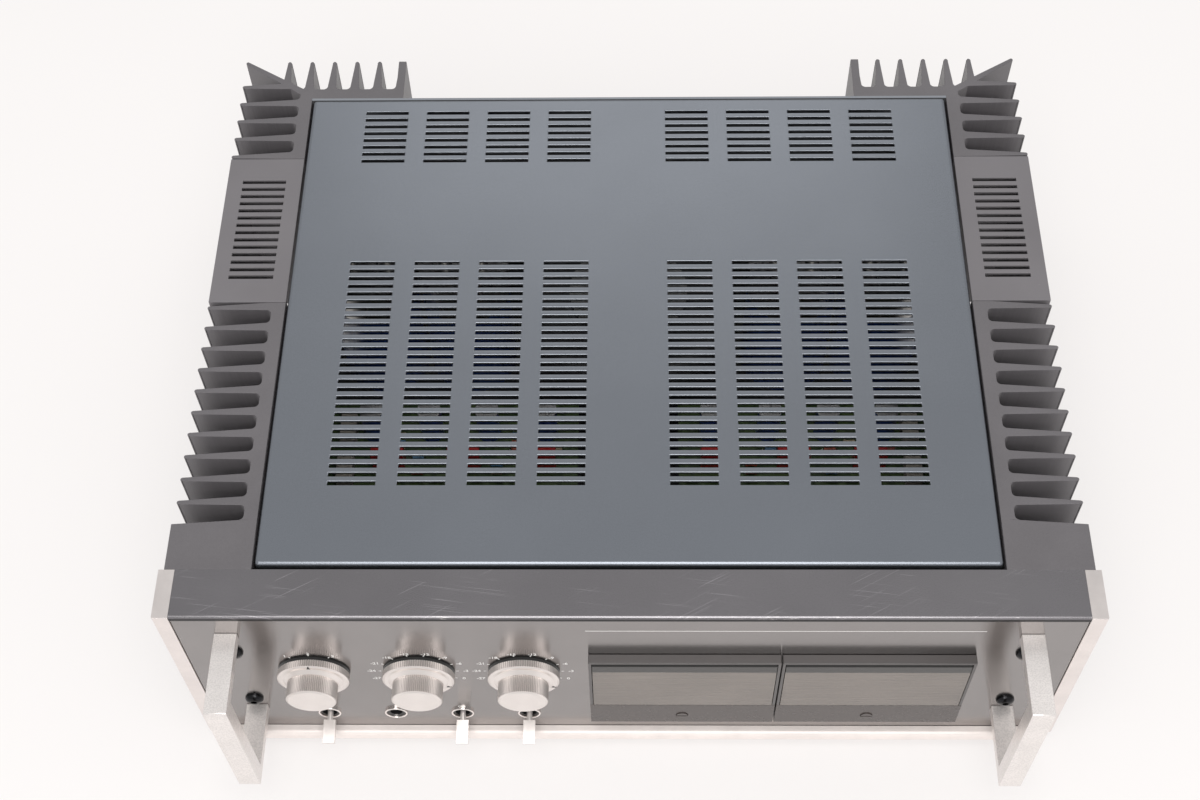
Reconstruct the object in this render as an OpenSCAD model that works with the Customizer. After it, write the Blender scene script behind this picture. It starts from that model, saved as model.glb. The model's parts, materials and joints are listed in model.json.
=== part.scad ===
// Stereo power amplifier: a steel case between finned aluminium heatsinks, with a
// slotted top cover, a framed front panel, two grab handles, three turned knobs,
// three toggle switches, a headphone socket and two level meters.
// Millimetres. +X to the right, +Y to the rear, +Z up.
// The origin is on the table, under the middle of the whole outline.

/* [Overall] */
// Width over the side trims
unit_w = 452; // [440:1:480]
// Height of the top cover above the table
unit_h = 151; // [148:1:170]
// Depth from the front frame to the rear fin tips
unit_d = 357; // [352:1:390]
// Height of the feet
foot_h = 12; // [8:1:18]
// Diameter of a foot
foot_d = 32; // [24:1:40]
// Thickness of the steel sheet
sheet_t = 1.5; // [1:0.1:2]

/* [Front frame] */
// Depth of the rails and trims
frame_d = 26; // [22:1:34]
// Width of a side trim
trim_w = 8; // [5:0.5:12]
// Thickness of the rails
rail_t = 3; // [2:0.5:5]
// Radius of the top rail's front edge
rail_r = 1.8; // [0.5:0.1:1.9]
// Height of the top rail's rear flange
rail_flange_h = 10; // [6:1:14]
// How far the bottom rail stands in front of the trims
nose_reach = 4.5; // [2:0.5:8]
// Height of the bottom rail's nose
nose_h = 6.5; // [6:0.5:11]
// Radius of the nose's upper edge
nose_r = 2.4; // [0.5:0.1:3.5]
// Thickness of the front panel
panel_t = 3; // [2:0.5:4]
// How far the front panel sits behind the trims' front
panel_back = 0.8; // [0.5:0.1:2]
// Thickness of the panel that carries the controls
sub_panel_t = 2; // [1:0.5:3]

/* [Handles] */
// Distance from a trim's outer face to the middle of a handle
handle_in = 32; // [24:0.5:40]
// Width of a handle
handle_w = 11.1; // [8:0.1:14]
// Reach of a handle in front of the trims
handle_reach = 41; // [32:1:60]
// Height of a handle
handle_h = 92; // [80:1:110]
// Underside of a handle above the frame's underside
handle_up = 28; // [14:0.5:30]
// Height of a handle's legs
handle_leg = 6; // [5:0.5:12]
// Depth of a handle's front bar
handle_bar = 8.6; // [5:0.1:12]
// Radius of a handle's front edges
handle_r = 1; // [0.4:0.1:2]
// Distance between the two panel bolts inside a handle
bolt_pitch = 56.5; // [40:0.5:62]
// Distance of the bolts' middle below a handle's middle
bolt_drop = 3.7; // [0:0.1:5]
// Diameter of a panel bolt's shank
bolt_d = 5; // [3:0.5:6]
// Diameter of a panel bolt's head
bolt_head_d = 9.5; // [8:0.5:11]
// Height of a panel bolt's head
bolt_head_h = 3; // [2:0.1:3.5]
// Width across the flats of a bolt's socket
bolt_key = 3; // [2:0.5:4]

/* [Heatsinks] */
// How far the fin tips stand inside the trims
tip_inset = 3.7; // [2:0.1:8]
// How far the heatsinks start above the frame's underside
sink_lift = 2; // [0:0.5:6]
// Thickness of the heatsinks' wall
sink_wall = 7.2; // [5:0.1:9]
// Length of the solid block at the front of a front heatsink
block_d = 27.3; // [20:0.1:30]
// How far that block stands beyond the fin tips
block_proud = 1; // [0:0.1:2]
// Distance from fin to fin
fin_pitch = 13.1; // [11:0.1:13.8]
// Number of fins on a front heatsink
fin_count = 10; // [6:1:10]
// Number of side fins on a rear heatsink
side_fin_count = 5; // [3:1:5]
// Number of rear fins on a rear heatsink
rear_fin_count = 6; // [4:1:7]
// Width of a fin at its root
fin_root_w = 4.9; // [3.5:0.1:6]
// Width of a fin at its tip
fin_tip_w = 2; // [1.4:0.1:3]
// Width of the straight fin that ends a rear heatsink
end_fin_w = 4.4; // [3:0.1:6]
// How far a side fin's tip leans to the front
fin_lean = 1; // [0:0.1:2]
// Radius in the corners of the gaps between fins
gap_r = 2.4; // [1:0.1:2.5]
// Length of a rear fin
rear_fin_l = 21.4; // [16:0.1:28]
// Width of a rear heatsink's diagonal fin at its root
corner_fin_w = 4.6; // [3.5:0.1:6]
// Distance from the case's side to the outermost rear fin
corner_x = 15.7; // [13:0.1:18]
// Distance from the rear panel to the rearmost side fin
corner_y = 10; // [8:0.1:12]

/* [Top cover] */
// Width of the cover
cover_w = 360; // [350:1:362]
// Gap between the cover's sides and the heatsinks
cover_side_gap = 1.1; // [0.5:0.1:4]
// Gap between the front frame and the cover
cover_gap = 2; // [1:0.5:4]
// Gap between the cover and the rear panel
cover_rear_gap = 0.5; // [0.3:0.1:4]
// How far the cover stands above the front frame
cover_proud = 1; // [0:0.5:3]
// Height of the cover's folded edges
cover_h = 14; // [10:1:20]
// Outer radius of the cover's folds
cover_r = 3; // [2.5:0.1:4]
// Length of a vent slot
slot_l = 24; // [16:1:28]
// Width of a vent slot
slot_w = 2.3; // [1.5:0.1:3]
// Distance from slot to slot
slot_pitch = 5.04; // [4.5:0.02:5.1]
// Columns of slots on each half of the cover
slot_cols = 4; // [2:1:4]
// Distance from column to column
col_pitch = 34.6; // [30:0.1:36]
// Distance from the cover's side edge to the first column
slot_edge = 31.2; // [25:0.1:35]
// Rows of slots in the front group
front_rows = 28; // [10:1:28]
// Distance from the cover's front edge to the front group
front_slot_y = 45.3; // [30:0.1:50]
// Rows of slots in the rear group
rear_rows = 8; // [3:1:10]
// Distance from the cover's rear edge to the rear group
rear_slot_y = 10.2; // [7:0.1:14]
// Rows of slots in a side vent
side_rows = 14; // [8:1:15]
// Distance from a side vent's edges to the ends of its slots
side_slot_edge = 8.6; // [4:0.1:10]

/* [Knobs] */
// Distance from the centreline to the innermost knob
knob_x = 52.2; // [46:0.1:56]
// Distance from the left trim's outer face to the outermost knob
knob_in = 68.1; // [64:0.1:80]
// Height of the knobs above the frame's underside
knob_up = 75; // [70:1:90]
// Diameter of a knob's skirt
skirt_d = 36.2; // [30:0.1:40]
// Thickness of a knob's skirt
skirt_t = 4; // [2.5:0.1:5]
// Gap between the trims' front plane and a skirt
skirt_gap = 0.7; // [0.5:0.1:4]
// Diameter of a knob's grip
grip_d = 25.3; // [20:0.1:28]
// Length of a knob's grip
grip_l = 10.9; // [9:0.1:16]
// Diameter of a knob's sloping hub at the skirt
hub_d = 30; // [28:0.1:32]
// Height of a knob's sloping hub
hub_h = 1.6; // [0.5:0.1:2.5]
// Bevel on a knob's edges
knob_bevel = 0.7; // [0.3:0.1:1.2]
// Grooves round a skirt
skirt_grooves = 96; // [48:2:120]
// Grooves round a grip
grip_grooves = 80; // [40:2:100]
// Depth of the grooves
groove_depth = 0.4; // [0.2:0.1:0.6]
// Diameter of a knob's shaft
shaft_d = 6; // [5:0.5:8]
// Diameter of the body of a rotary control
control_d = 26; // [20:1:32]
// Depth of the body of a rotary control
control_l = 14; // [10:1:17]

/* [Toggles and socket] */
// Distance from the centreline to the innermost toggle
toggle_x = 52; // [46:1:56]
// Distance from the left trim's outer face to the outermost toggle
toggle_in = 68.8; // [64:0.1:80]
// Height of the row above the frame's underside
toggle_up = 24.5; // [19:0.5:26]
// Outer diameter of the bezel rings
ring_d = 12; // [11:0.1:14]
// How far the bezel rings stand in front of the trims
ring_proud = 0.6; // [0.3:0.1:1.5]
// Outer diameter of a switch bush
bush_d = 10; // [9.4:0.1:10.6]
// Inner diameter of a switch bush
bush_bore = 7.8; // [7.6:0.1:8]
// Full travel of a toggle lever in degrees
toggle_throw = 24; // [16:1:25]
// Distance from the front panel's face back to a lever's pivot
pivot_depth = 9; // [8.5:0.1:9.5]
// Diameter of a lever's neck
neck_d = 3; // [2.4:0.1:3.2]
// Distance from a lever's pivot to its paddle
neck_l = 13.2; // [12:0.1:15]
// Diameter of the pin that a lever turns on
pin_d = 1.6; // [1:0.1:2]
// Length of a lever's paddle
paddle_l = 12.3; // [9:0.1:16]
// Width of a lever's paddle
paddle_w = 6.2; // [4:0.1:7]
// Thickness of a lever's paddle
paddle_t = 3.2; // [2:0.1:4]
// Width and height of a switch body
switch_w = 14; // [13:0.5:16]
// Depth of a switch body
switch_l = 22; // [16:1:24]
// Bore of the headphone socket
jack_bore = 6.4; // [6.3:0.05:6.6]
// Depth of the headphone socket's bore
jack_l = 33; // [28:1:38]

/* [Meters] */
// Left edge of the pair of meters
meter_x = -19.5; // [-24:0.5:-15]
// Underside of the meters above the frame's underside
meter_up = 23.5; // [18:0.5:30]
// Distance from the right trim's outer face to the meters
meter_in = 55.2; // [50:0.1:66]
// Height of a meter
meter_h = 73.2; // [66:0.1:84]
// Gap between the two meters
meter_gap = 0.6; // [0.4:0.1:4]
// How far a meter stands in front of the trims
meter_proud = 4.3; // [4:0.1:8]
// Depth of a meter behind the front panel's face
meter_depth = 24; // [20:1:28]
// Width of a meter's flange around its body
meter_lip = 3; // [2:0.1:5]
// Width of the frame round a meter's window
window_edge = 1.6; // [1:0.1:3]
// Thickness of a meter's window
window_t = 3; // [2:0.1:3.5]
// Bevel along the window's upper edge
window_bevel = 2.2; // [0.5:0.1:2.6]
// Height of the plain strip under a meter's window
apron_h = 22; // [19:0.5:26]
// Height of the zero screw above a meter's underside
zero_up = 9; // [6:0.5:14]
// Diameter of the zero screw
zero_d = 6; // [4:0.5:8]
// Height of the needle's pivot above a meter's underside
needle_up = 13.5; // [11:0.5:17]
// Length of the needle
needle_l = 48; // [35:1:50]
// Full swing of the needle in degrees
needle_swing = 84; // [60:1:90]

/* [Inside] */
// Outer diameter of the mains transformer
core_d = 126; // [100:1:130]
// Height of the mains transformer
core_h = 66; // [50:1:80]
// Thickness of the transformer's ring
core_ring = 43; // [36:1:48]
// Diameter of a reservoir capacitor
can_d = 51; // [40:1:52]
// Height of a reservoir capacitor
can_h = 95; // [70:1:105]
// Width of an amplifier board
board_w = 140; // [120:1:146]
// Depth of an amplifier board
board_d = 126; // [110:1:126]
// Height of an amplifier board above the floor
board_up = 46; // [35:1:60]
// Distance from the front frame to an amplifier board
board_back = 28; // [20:1:30]
// Thickness of the circuit boards
board_t = 1.6; // [1:0.1:2.4]
// Power transistors on each side
transistor_count = 4; // [2:1:4]

/* [Rear] */
// Distance between two sockets of a pair
socket_pitch = 19; // [16:0.5:22]
// Height of the lower row of sockets above the floor
socket_up = 46; // [40:1:60]
// Distance between the two rows of sockets
socket_row = 30; // [24:1:36]
// Bore of a speaker socket
speaker_bore = 4.1; // [4:0.05:4.3]
// Depth of a speaker socket's bore
speaker_l = 20; // [16:1:22]
// Outer diameter of a signal socket's sleeve
signal_d = 8.3; // [8.2:0.05:8.4]
// Length of a signal socket's sleeve
signal_l = 9; // [8:0.5:11]
// Distance from the centreline to the mains inlet
inlet_x = 92; // [80:1:100]
// Height of the mains inlet above the floor
inlet_up = 38; // [34:1:44]
// Distance from the mains inlet up to the fuse
fuse_up = 36; // [32:1:44]
// Width of the mains inlet's recess
inlet_w = 24.6; // [24:0.1:25.4]
// Height of the mains inlet's recess
inlet_h = 17; // [16.4:0.1:17.6]
// Depth of the mains inlet's recess
inlet_l = 16.5; // [15:0.5:18]

/* [Clearances] */
// Gap between pieces of the case that are fitted together
seam = 0.2; // [0.1:0.05:0.3]
// Radial gap between a turning shaft and its bush
running_gap = 0.05; // [0.02:0.01:0.1]
// Gap between a toggle's ball and its seat
ball_gap = 0.3; // [0.2:0.05:0.4]
// Radial gap round what passes through a panel
hole_gap = 0.3; // [0.1:0.05:0.5]

/* [Hidden] */
$fn = 96;
over = 1;

// Levels of the case
front_y = (handle_reach - unit_d) / 2;
frame_top = unit_h - cover_proud;
floor_z = foot_h + sheet_t;
cover_z = unit_h - cover_h;
rear_y = unit_d - rear_fin_l - sink_wall;
plate_top = cover_z - seam;

// Front panel
panel_w = unit_w - 2 * trim_w - 2 * seam;
panel_z = foot_h + rail_t + seam;
panel_h = frame_top - rail_t - seam - panel_z;
panel_rear = panel_back + panel_t;
sub_rear = panel_rear + sub_panel_t;
sub_inset = 5;
handle_x = unit_w / 2 - handle_in;
handle_z = foot_h + handle_up;
bolt_z = [for (s = [-1, 1]) handle_z + handle_h / 2 - bolt_drop + s * bolt_pitch / 2];

// Heatsinks
tip_x = unit_w / 2 - tip_inset;
tip_r = fin_tip_w / 2;
sink_x = cover_w / 2 + cover_side_gap;
root_x = sink_x + sink_wall;
sink_z = foot_h + sink_lift;
sink_h = frame_top - sink_z;
sink_end = frame_d + block_d + fin_count * fin_pitch;
wing_x = sink_x + corner_x - fin_root_w / 2 - (rear_fin_count - 1) * fin_pitch;
side_y = rear_y + corner_y - fin_root_w / 2 - (side_fin_count - 1) * fin_pitch;
corner_root = [sink_x + sink_wall / 2, rear_y + sink_wall / 2];
corner_reach = [tip_x - tip_r, unit_d - tip_r] - corner_root;
corner_turn = atan2(corner_reach[1], corner_reach[0]);
vent_y = sink_end + seam;
vent_d = side_y - seam - vent_y;

// Cover
cover_y = frame_d + cover_gap;
cover_d = rear_y - sheet_t - cover_rear_gap - cover_y;

// Knobs, from left to right
knob_z = foot_h + knob_up;
knob_pitch = (unit_w / 2 - knob_in - knob_x) / 2;
knob_xs = [for (i = [2, 1, 0]) -knob_x - i * knob_pitch];
knob_front = -skirt_gap - skirt_t - grip_l;
knob_cap_t = 4;
knob_land = 0.15;
hub_land = 0.35;
felt_inset = 0.2;
bush_sunk = 0.2;
shaft_end_gap = 0.3;
shaft_r = shaft_d / 2;
bush_r = bush_d / 2;
control_bush_wall = 1.5;
control_bush_r = shaft_r + control_bush_wall;
nut_t = 2;
nut_rim = 2.6;
nut_r = control_bush_r + nut_rim;
nut_room = 1;
nut_hole_r = nut_r + nut_room;
felt_t = panel_back + skirt_gap - seam;

// Toggles and socket, from left to right: toggle, socket, toggle, toggle
toggle_z = foot_h + toggle_up;
toggle_pitch = (unit_w / 2 - toggle_in - toggle_x) / 3;
row_xs = [for (i = [3, 2, 1, 0]) -toggle_x - i * toggle_pitch];
toggle_xs = [row_xs[0], row_xs[2], row_xs[3]];
jack_x = row_xs[1];
pivot_y = panel_back + pivot_depth;
ball_r = bush_bore / 2 - ball_gap;
bush_proud = 0.3;
bead_land = 0.02;

// Meters
meter_z = foot_h + meter_up;
meter_w = (unit_w / 2 - meter_in - meter_x - meter_gap) / 2;
meter_xs = [for (i = [0, 1]) meter_x + meter_w / 2 + i * (meter_w + meter_gap)];
meter_wall = 1.5;
meter_front = -meter_proud;
window_back = meter_front + window_t;
needle_gap = 2.2;
needle_y = window_back + needle_gap;
needle_t = 0.8;
needle_hub_proud = 0.4;
scale_gap = 2;
scale_y = needle_y + scale_gap;
scale_t = 0.8;
movement_y = scale_y + scale_t;
movement_rear = panel_back + meter_depth - meter_wall;
pivot_r = 1;
pivot_l = 5;
pivot_end_gap = 1;
housing_d = 32;

// Inside
core_back = 8;
core_y = (sink_end + side_y) / 2 + core_back;
core_gap = 5;
can_gap = 2;
can_xs = [for (i = [0, 1]) core_d / 2 + core_gap + can_d / 2 + i * (can_d + can_gap)];
board_edge_gap = 11.6;
board_x = sink_x - sheet_t - board_edge_gap - board_w;
board_y = frame_d + board_back;
board_z = floor_z + board_up;
board_top = board_z + board_t;

// Components of an amplifier board: size, place of the first one and distances between them
board_rows = 62;
film_size = [18, 8, 14];
film_start = [12, 18];
film_pitch = 42;
film_cols = 3;
small_size = [13, 24];
small_start = [18, 42];
small_pitch = 32;
small_cols = 4;
cement_size = [9, 18, 9];
cement_edge = 16;
cement_start = [board_w - cement_edge, cement_edge];
cement_pitch = 26;
cement_count = 4;
transistor_start = 18;
transistor_pitch = 28;
transistor_up = 40;
transistor_can_d = 21;
transistor_can_h = 8.5;
rectifier_size = [28.5, 28.5, 10];

// Rear
socket_zs = [for (i = [0, 1]) floor_z + socket_up + i * socket_row];
speaker_xs = [-112, -60];
signal_xs = [2, 24];
inlet_z = floor_z + inlet_up;
fuse_z = inlet_z + fuse_up;
socket_tail = 26;
relay_board_y = rear_y - socket_tail;
relay_size = [20, 17, 15];
relay_pitch = 26;
relay_up = 8;
board_margin = [10, 14];
speaker_body_r = 4.2;
speaker_collar = 6;
speaker_rim = 1.6;
signal_body_r = 4.8;
signal_rim = 1.2;
signal_pin_r = 1.65;
fuse_r = 6.4;
fuse_depth = 30;
fuse_flange = 2;
fuse_end_t = 3;
fuse_cap_r = 4.6;
fuse_cap_rim = 1.4;
fuse_cap_l = 22;
inlet_wall = 1.6;
inlet_flange = 2.5;
inlet_depth = 24;
inlet_cut = 5;
inlet_pins = [[0, 2], [-7, -2], [7, -2]];
inlet_pin = [2, 4];
inlet_pin_back = 2.5;

// Colours
silver = [0.82, 0.81, 0.79];
panel_grey = [0.42, 0.41, 0.41];
rail_grey = [0.36, 0.36, 0.38];
sink_grey = [0.30, 0.29, 0.30];
cover_blue = [0.24, 0.29, 0.33];
steel = [0.70, 0.71, 0.72];
black = [0.06, 0.06, 0.06];
board_green = [0.30, 0.42, 0.16];

// Moves from the front frame, whose front plane is y = 0, to the part's own frame
module place() {
    translate([0, front_y, 0]) children();
}

module both_sides() {
    children();
    mirror([1, 0, 0]) children();
}

// Extrudes a side outline, depth across and height up, along X
module along_x(x, len) {
    translate([x, 0, 0]) rotate([90, 0, 90]) linear_extrude(len) children();
}

// Extrudes a front outline, width across and height up, along Y
module along_y(y, len) {
    translate([0, y + len, 0]) rotate([90, 0, 0]) linear_extrude(len) children();
}

module rod_y(r, y, len) {
    translate([0, y, 0]) rotate([-90, 0, 0]) cylinder(r = r, h = len);
}

// Turns what is drawn upwards to point forwards from the given depth
module forward(y) {
    translate([0, y, 0]) rotate([90, 0, 0]) children();
}

module at(x, z) {
    translate([x, 0, z]) children();
}

module box(x, y, z, w, d, h) {
    translate([x, y, z]) cube([w, d, h]);
}

// Outline with square feet and round shoulders, centred on its width
module rounded_top(w, h, r) {
    translate([-w / 2, 0]) square([w, h - r]);
    translate([r - w / 2, 0]) square([w - 2 * r, h]);
    for (s = [-1, 1]) translate([s * (w / 2 - r), h - r]) circle(r);
}

// Rows of slots across X, from the given first row
module slot_rows(x, y, rows, len = slot_l) {
    for (i = [0 : rows - 1]) {
        translate([x, y + i * slot_pitch]) square([len, slot_w], center = true);
    }
}

// Case

module bottom_plate() {
    color(steel) place() difference() {
        box(-sink_x, frame_d, foot_h, 2 * sink_x, rear_y - frame_d, sheet_t);
        translate([0, 0, foot_h - over]) linear_extrude(sheet_t + 2 * over) {
            for (s = [-1, 1], col = [0 : slot_cols - 1]) {
                slot_rows(s * (cover_w / 2 - slot_edge - slot_l / 2 - col * col_pitch),
                          board_y + board_d / 4, rear_rows);
            }
        }
    }
}

module side_plates() {
    vent_edge = 12;
    color(steel) place() both_sides() difference() {
        box(sink_x - sheet_t, frame_d, floor_z, sheet_t, rear_y - sheet_t - frame_d,
            plate_top - floor_z);
        box(sink_x - sheet_t - over, vent_y + vent_edge, floor_z + vent_edge,
            sheet_t + 2 * over, vent_d - 2 * vent_edge, plate_top - floor_z - 2 * vent_edge);
    }
}

module rear_panel() {
    color(rail_grey) place() difference() {
        box(-sink_x, rear_y - sheet_t, floor_z, 2 * sink_x, sheet_t, frame_top - floor_z);
        for (x = speaker_xs, i = [0, 1], z = socket_zs) {
            at(x + i * socket_pitch, z) rod_y(speaker_body_r + hole_gap, rear_y - 2 * sheet_t,
                                              3 * sheet_t);
        }
        for (x = signal_xs, z = socket_zs) {
            at(x, z) rod_y(signal_body_r + hole_gap, rear_y - 2 * sheet_t, 3 * sheet_t);
        }
        at(inlet_x, fuse_z) rod_y(fuse_r + hole_gap, rear_y - 2 * sheet_t, 3 * sheet_t);
        at(inlet_x, inlet_z) along_y(rear_y - 2 * sheet_t, 3 * sheet_t) {
            inlet_outline(inlet_wall + hole_gap);
        }
    }
}

module cover_slots() {
    for (s = [-1, 1], col = [0 : slot_cols - 1]) {
        x = s * (cover_w / 2 - slot_edge - slot_l / 2 - col * col_pitch);
        slot_rows(x, cover_y + front_slot_y, front_rows);
        slot_rows(x, cover_y + cover_d - rear_slot_y - (rear_rows - 1) * slot_pitch, rear_rows);
    }
}

// Solid with round upper edges on all four sides
module cover_form(inset, z, h) {
    r = cover_r - inset;
    translate([0, 0, z]) intersection() {
        along_y(cover_y + inset, cover_d - 2 * inset) rounded_top(cover_w - 2 * inset, h, r);
        along_x(inset - cover_w / 2, cover_w - 2 * inset) {
            translate([cover_y + cover_d / 2, 0]) rounded_top(cover_d - 2 * inset, h, r);
        }
    }
}

module top_cover() {
    color(cover_blue) place() difference() {
        cover_form(0, cover_z, cover_h);
        cover_form(sheet_t, cover_z - over, cover_h - sheet_t + over);
        translate([0, 0, unit_h - 2 * sheet_t]) linear_extrude(3 * sheet_t) cover_slots();
    }
}

module feet() {
    rim = 2;
    foot_x = sink_x - 1.2 * foot_d;
    color(black) place() for (x = [-foot_x, foot_x], y = [frame_d + foot_d, rear_y - foot_d]) {
        translate([x, y, 0]) rotate_extrude() {
            polygon([[0, 0], [foot_d / 2 - 2 * rim, 0], [foot_d / 2 - rim, rim],
                     [foot_d / 2, foot_h], [0, foot_h]]);
        }
    }
}

// Heatsinks

// Gap between two fins: x = 0 is its root and it opens along +X
module fin_gap(len, lean) {
    root = fin_pitch - fin_root_w;
    mouth = fin_pitch - fin_tip_w;
    polygon([[gap_r, -root / 2], [len, lean - mouth / 2], [len, lean + mouth / 2],
             [gap_r, root / 2]]);
    square_h = root - 2 * gap_r;
    translate([0, -square_h / 2]) square([2 * gap_r, square_h]);
    for (s = [-1, 1]) translate([gap_r, s * square_h / 2]) circle(gap_r);
}

// A wall at y = 0 with fins along +X from it: count fins, tips at len
module finned_wall(wall, len, count, lean) {
    height = count * fin_pitch - (fin_pitch - fin_root_w);
    mid = fin_root_w / 2;
    difference() {
        translate([-wall, 0]) square([wall + len - tip_r, height]);
        for (i = [-1 : count - 1]) {
            translate([0, mid + (i + 0.5) * fin_pitch]) fin_gap(len, lean);
        }
    }
    for (i = [0 : count - 1]) {
        translate([len - tip_r, mid + i * fin_pitch + lean]) circle(tip_r);
    }
    translate([-wall, 0]) square([wall, height]);
}

module front_sink_outline() {
    block_front = tip_x + block_proud;
    difference() {
        translate([sink_x, frame_d]) square([block_front - sink_x, block_d]);
        translate([root_x, frame_d + block_d - (fin_pitch - fin_root_w) / 2]) {
            translate([0, (fin_pitch - fin_root_w)]) fin_gap(block_front - root_x, -fin_lean);
        }
        translate([root_x, frame_d + block_d]) {
            polygon([[0, 0], [block_front - root_x, -fin_lean - (fin_root_w - fin_tip_w) / 2],
                     [block_front - root_x, over], [0, over]]);
        }
    }
    translate([root_x, frame_d + block_d + fin_pitch - fin_root_w]) {
        finned_wall(sink_wall, tip_x - root_x, fin_count, -fin_lean);
    }
    translate([sink_x, frame_d + block_d - over]) square([sink_wall, fin_pitch]);
    difference() {
        translate([root_x - over, frame_d + block_d]) {
            square([gap_r + over, fin_pitch - fin_root_w]);
        }
        translate([root_x, frame_d + block_d + (fin_pitch - fin_root_w) / 2]) {
            fin_gap(tip_x - root_x, -fin_lean);
        }
    }
}

// All that lies on one side of the diagonal fin's middle line
module corner_half(side) {
    translate(corner_root) rotate(corner_turn) {
        translate([-unit_d, side > 0 ? 0 : -unit_d]) square([2 * unit_d, unit_d]);
    }
}

module diagonal_fin() {
    len = norm(corner_reach);
    translate(corner_root) rotate(corner_turn) {
        polygon([[0, -corner_fin_w / 2], [len, -tip_r], [len, tip_r], [0, corner_fin_w / 2]]);
        translate([len, 0]) circle(tip_r);
    }
}

module rear_sink_outline() {
    intersection() {
        translate([root_x, side_y]) {
            finned_wall(sink_wall, tip_x - root_x, side_fin_count, -fin_lean);
        }
        corner_half(-1);
    }
    intersection() {
        translate([wing_x, rear_y + sink_wall]) mirror([1, -1]) {
            finned_wall(sink_wall, rear_fin_l, rear_fin_count, 0);
        }
        corner_half(1);
    }
    translate([sink_x, side_y]) square([sink_wall, rear_y + sink_wall - side_y]);
    translate([wing_x, rear_y]) square([root_x - wing_x, sink_wall]);
    translate([wing_x, rear_y]) square([end_fin_w, sink_wall + rear_fin_l]);
    diagonal_fin();
}

module heatsink(height) {
    color(sink_grey) place() translate([0, 0, sink_z]) linear_extrude(height) children();
}

module front_heatsink_right() {
    heatsink(sink_h) front_sink_outline();
}

module front_heatsink_left() {
    mirror([1, 0, 0]) front_heatsink_right();
}

module rear_heatsink_right() {
    heatsink(sink_h) rear_sink_outline();
}

module rear_heatsink_left() {
    mirror([1, 0, 0]) rear_heatsink_right();
}

module side_vents() {
    vent_w = tip_x - sink_x;
    first = vent_y + (vent_d - (side_rows - 1) * slot_pitch) / 2;
    color(sink_grey) place() both_sides() difference() {
        box(sink_x, vent_y, sink_z, vent_w, vent_d, sink_h);
        box(sink_x - over, vent_y + sheet_t, sink_z - over, vent_w - sheet_t + over,
            vent_d - 2 * sheet_t, sink_h - sheet_t + over);
        translate([0, 0, frame_top - 2 * sheet_t]) linear_extrude(3 * sheet_t) {
            slot_rows(sink_x + vent_w / 2, first, side_rows, vent_w - 2 * side_slot_edge);
        }
    }
}

// Front frame

module top_rail() {
    color(rail_grey) place() along_x(trim_w - unit_w / 2, unit_w - 2 * trim_w) {
        translate([rail_r, frame_top - rail_t]) square([frame_d - rail_r, rail_t]);
        translate([0, frame_top - rail_t]) square([rail_r, rail_t - rail_r]);
        intersection() {
            translate([rail_r, frame_top - rail_r]) circle(rail_r);
            translate([0, frame_top - rail_t]) square([rail_r, rail_t]);
        }
        translate([frame_d - rail_t, frame_top - rail_flange_h]) {
            square([rail_t, rail_flange_h]);
        }
    }
}

module bottom_rail() {
    nose_d = nose_reach + panel_back - seam;
    color(silver) place() along_x(trim_w - unit_w / 2, unit_w - 2 * trim_w) {
        translate([-nose_reach, foot_h]) {
            square([nose_reach + frame_d, rail_t]);
            square([nose_d, nose_h - nose_r]);
            translate([nose_r, 0]) square([nose_d - nose_r, nose_h]);
            translate([nose_r, nose_h - nose_r]) circle(nose_r);
        }
    }
}

module side_trims() {
    bevel = 0.6;
    color(silver) place() both_sides() translate([unit_w / 2 - trim_w, 0, foot_h]) {
        linear_extrude(frame_top - foot_h) {
            polygon([[0, 0], [trim_w - bevel, 0], [trim_w, bevel], [trim_w, frame_d],
                     [0, frame_d]]);
        }
    }
}

// Every hole that the controls need, with the hole radius for the knobs given
module control_holes(knob_r, y, t) {
    for (x = knob_xs) at(x, knob_z) rod_y(knob_r, y - over, t + 2 * over);
    for (x = row_xs) at(x, toggle_z) rod_y(bush_r + hole_gap, y - over, t + 2 * over);
    for (x = [-handle_x, handle_x], z = bolt_z) {
        at(x, z) rod_y(bolt_d / 2 + hole_gap, y - over, t + 2 * over);
    }
    for (x = meter_xs) {
        w = meter_w - 2 * meter_lip + 2 * hole_gap;
        box(x - w / 2, y - over, meter_z + meter_lip - hole_gap, w, t + 2 * over,
            meter_h - 2 * meter_lip + 2 * hole_gap);
    }
}

module front_panel() {
    color(panel_grey) place() difference() {
        box(-panel_w / 2, panel_back, panel_z, panel_w, panel_t, panel_h);
        control_holes(nut_hole_r, panel_back, panel_t);
    }
}

module sub_panel() {
    color(steel) place() difference() {
        box(sub_inset - panel_w / 2, panel_rear, panel_z, panel_w - 2 * sub_inset, sub_panel_t,
            panel_h);
        control_holes(control_bush_r + hole_gap, panel_rear, sub_panel_t);
    }
}

module handle_outline() {
    len = handle_reach + panel_back;
    difference() {
        union() {
            translate([handle_r, 0]) square([len - handle_r, handle_h]);
            translate([0, handle_r]) square([handle_r, handle_h - 2 * handle_r]);
            for (z = [handle_r, handle_h - handle_r]) translate([handle_r, z]) circle(handle_r);
        }
        translate([handle_bar, handle_leg]) square([len, handle_h - 2 * handle_leg]);
    }
}

module handle_right() {
    color(silver) place() along_x(handle_x - handle_w / 2, handle_w) {
        translate([-handle_reach, handle_z]) handle_outline();
    }
}

module handle_left() {
    mirror([1, 0, 0]) handle_right();
}

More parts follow.
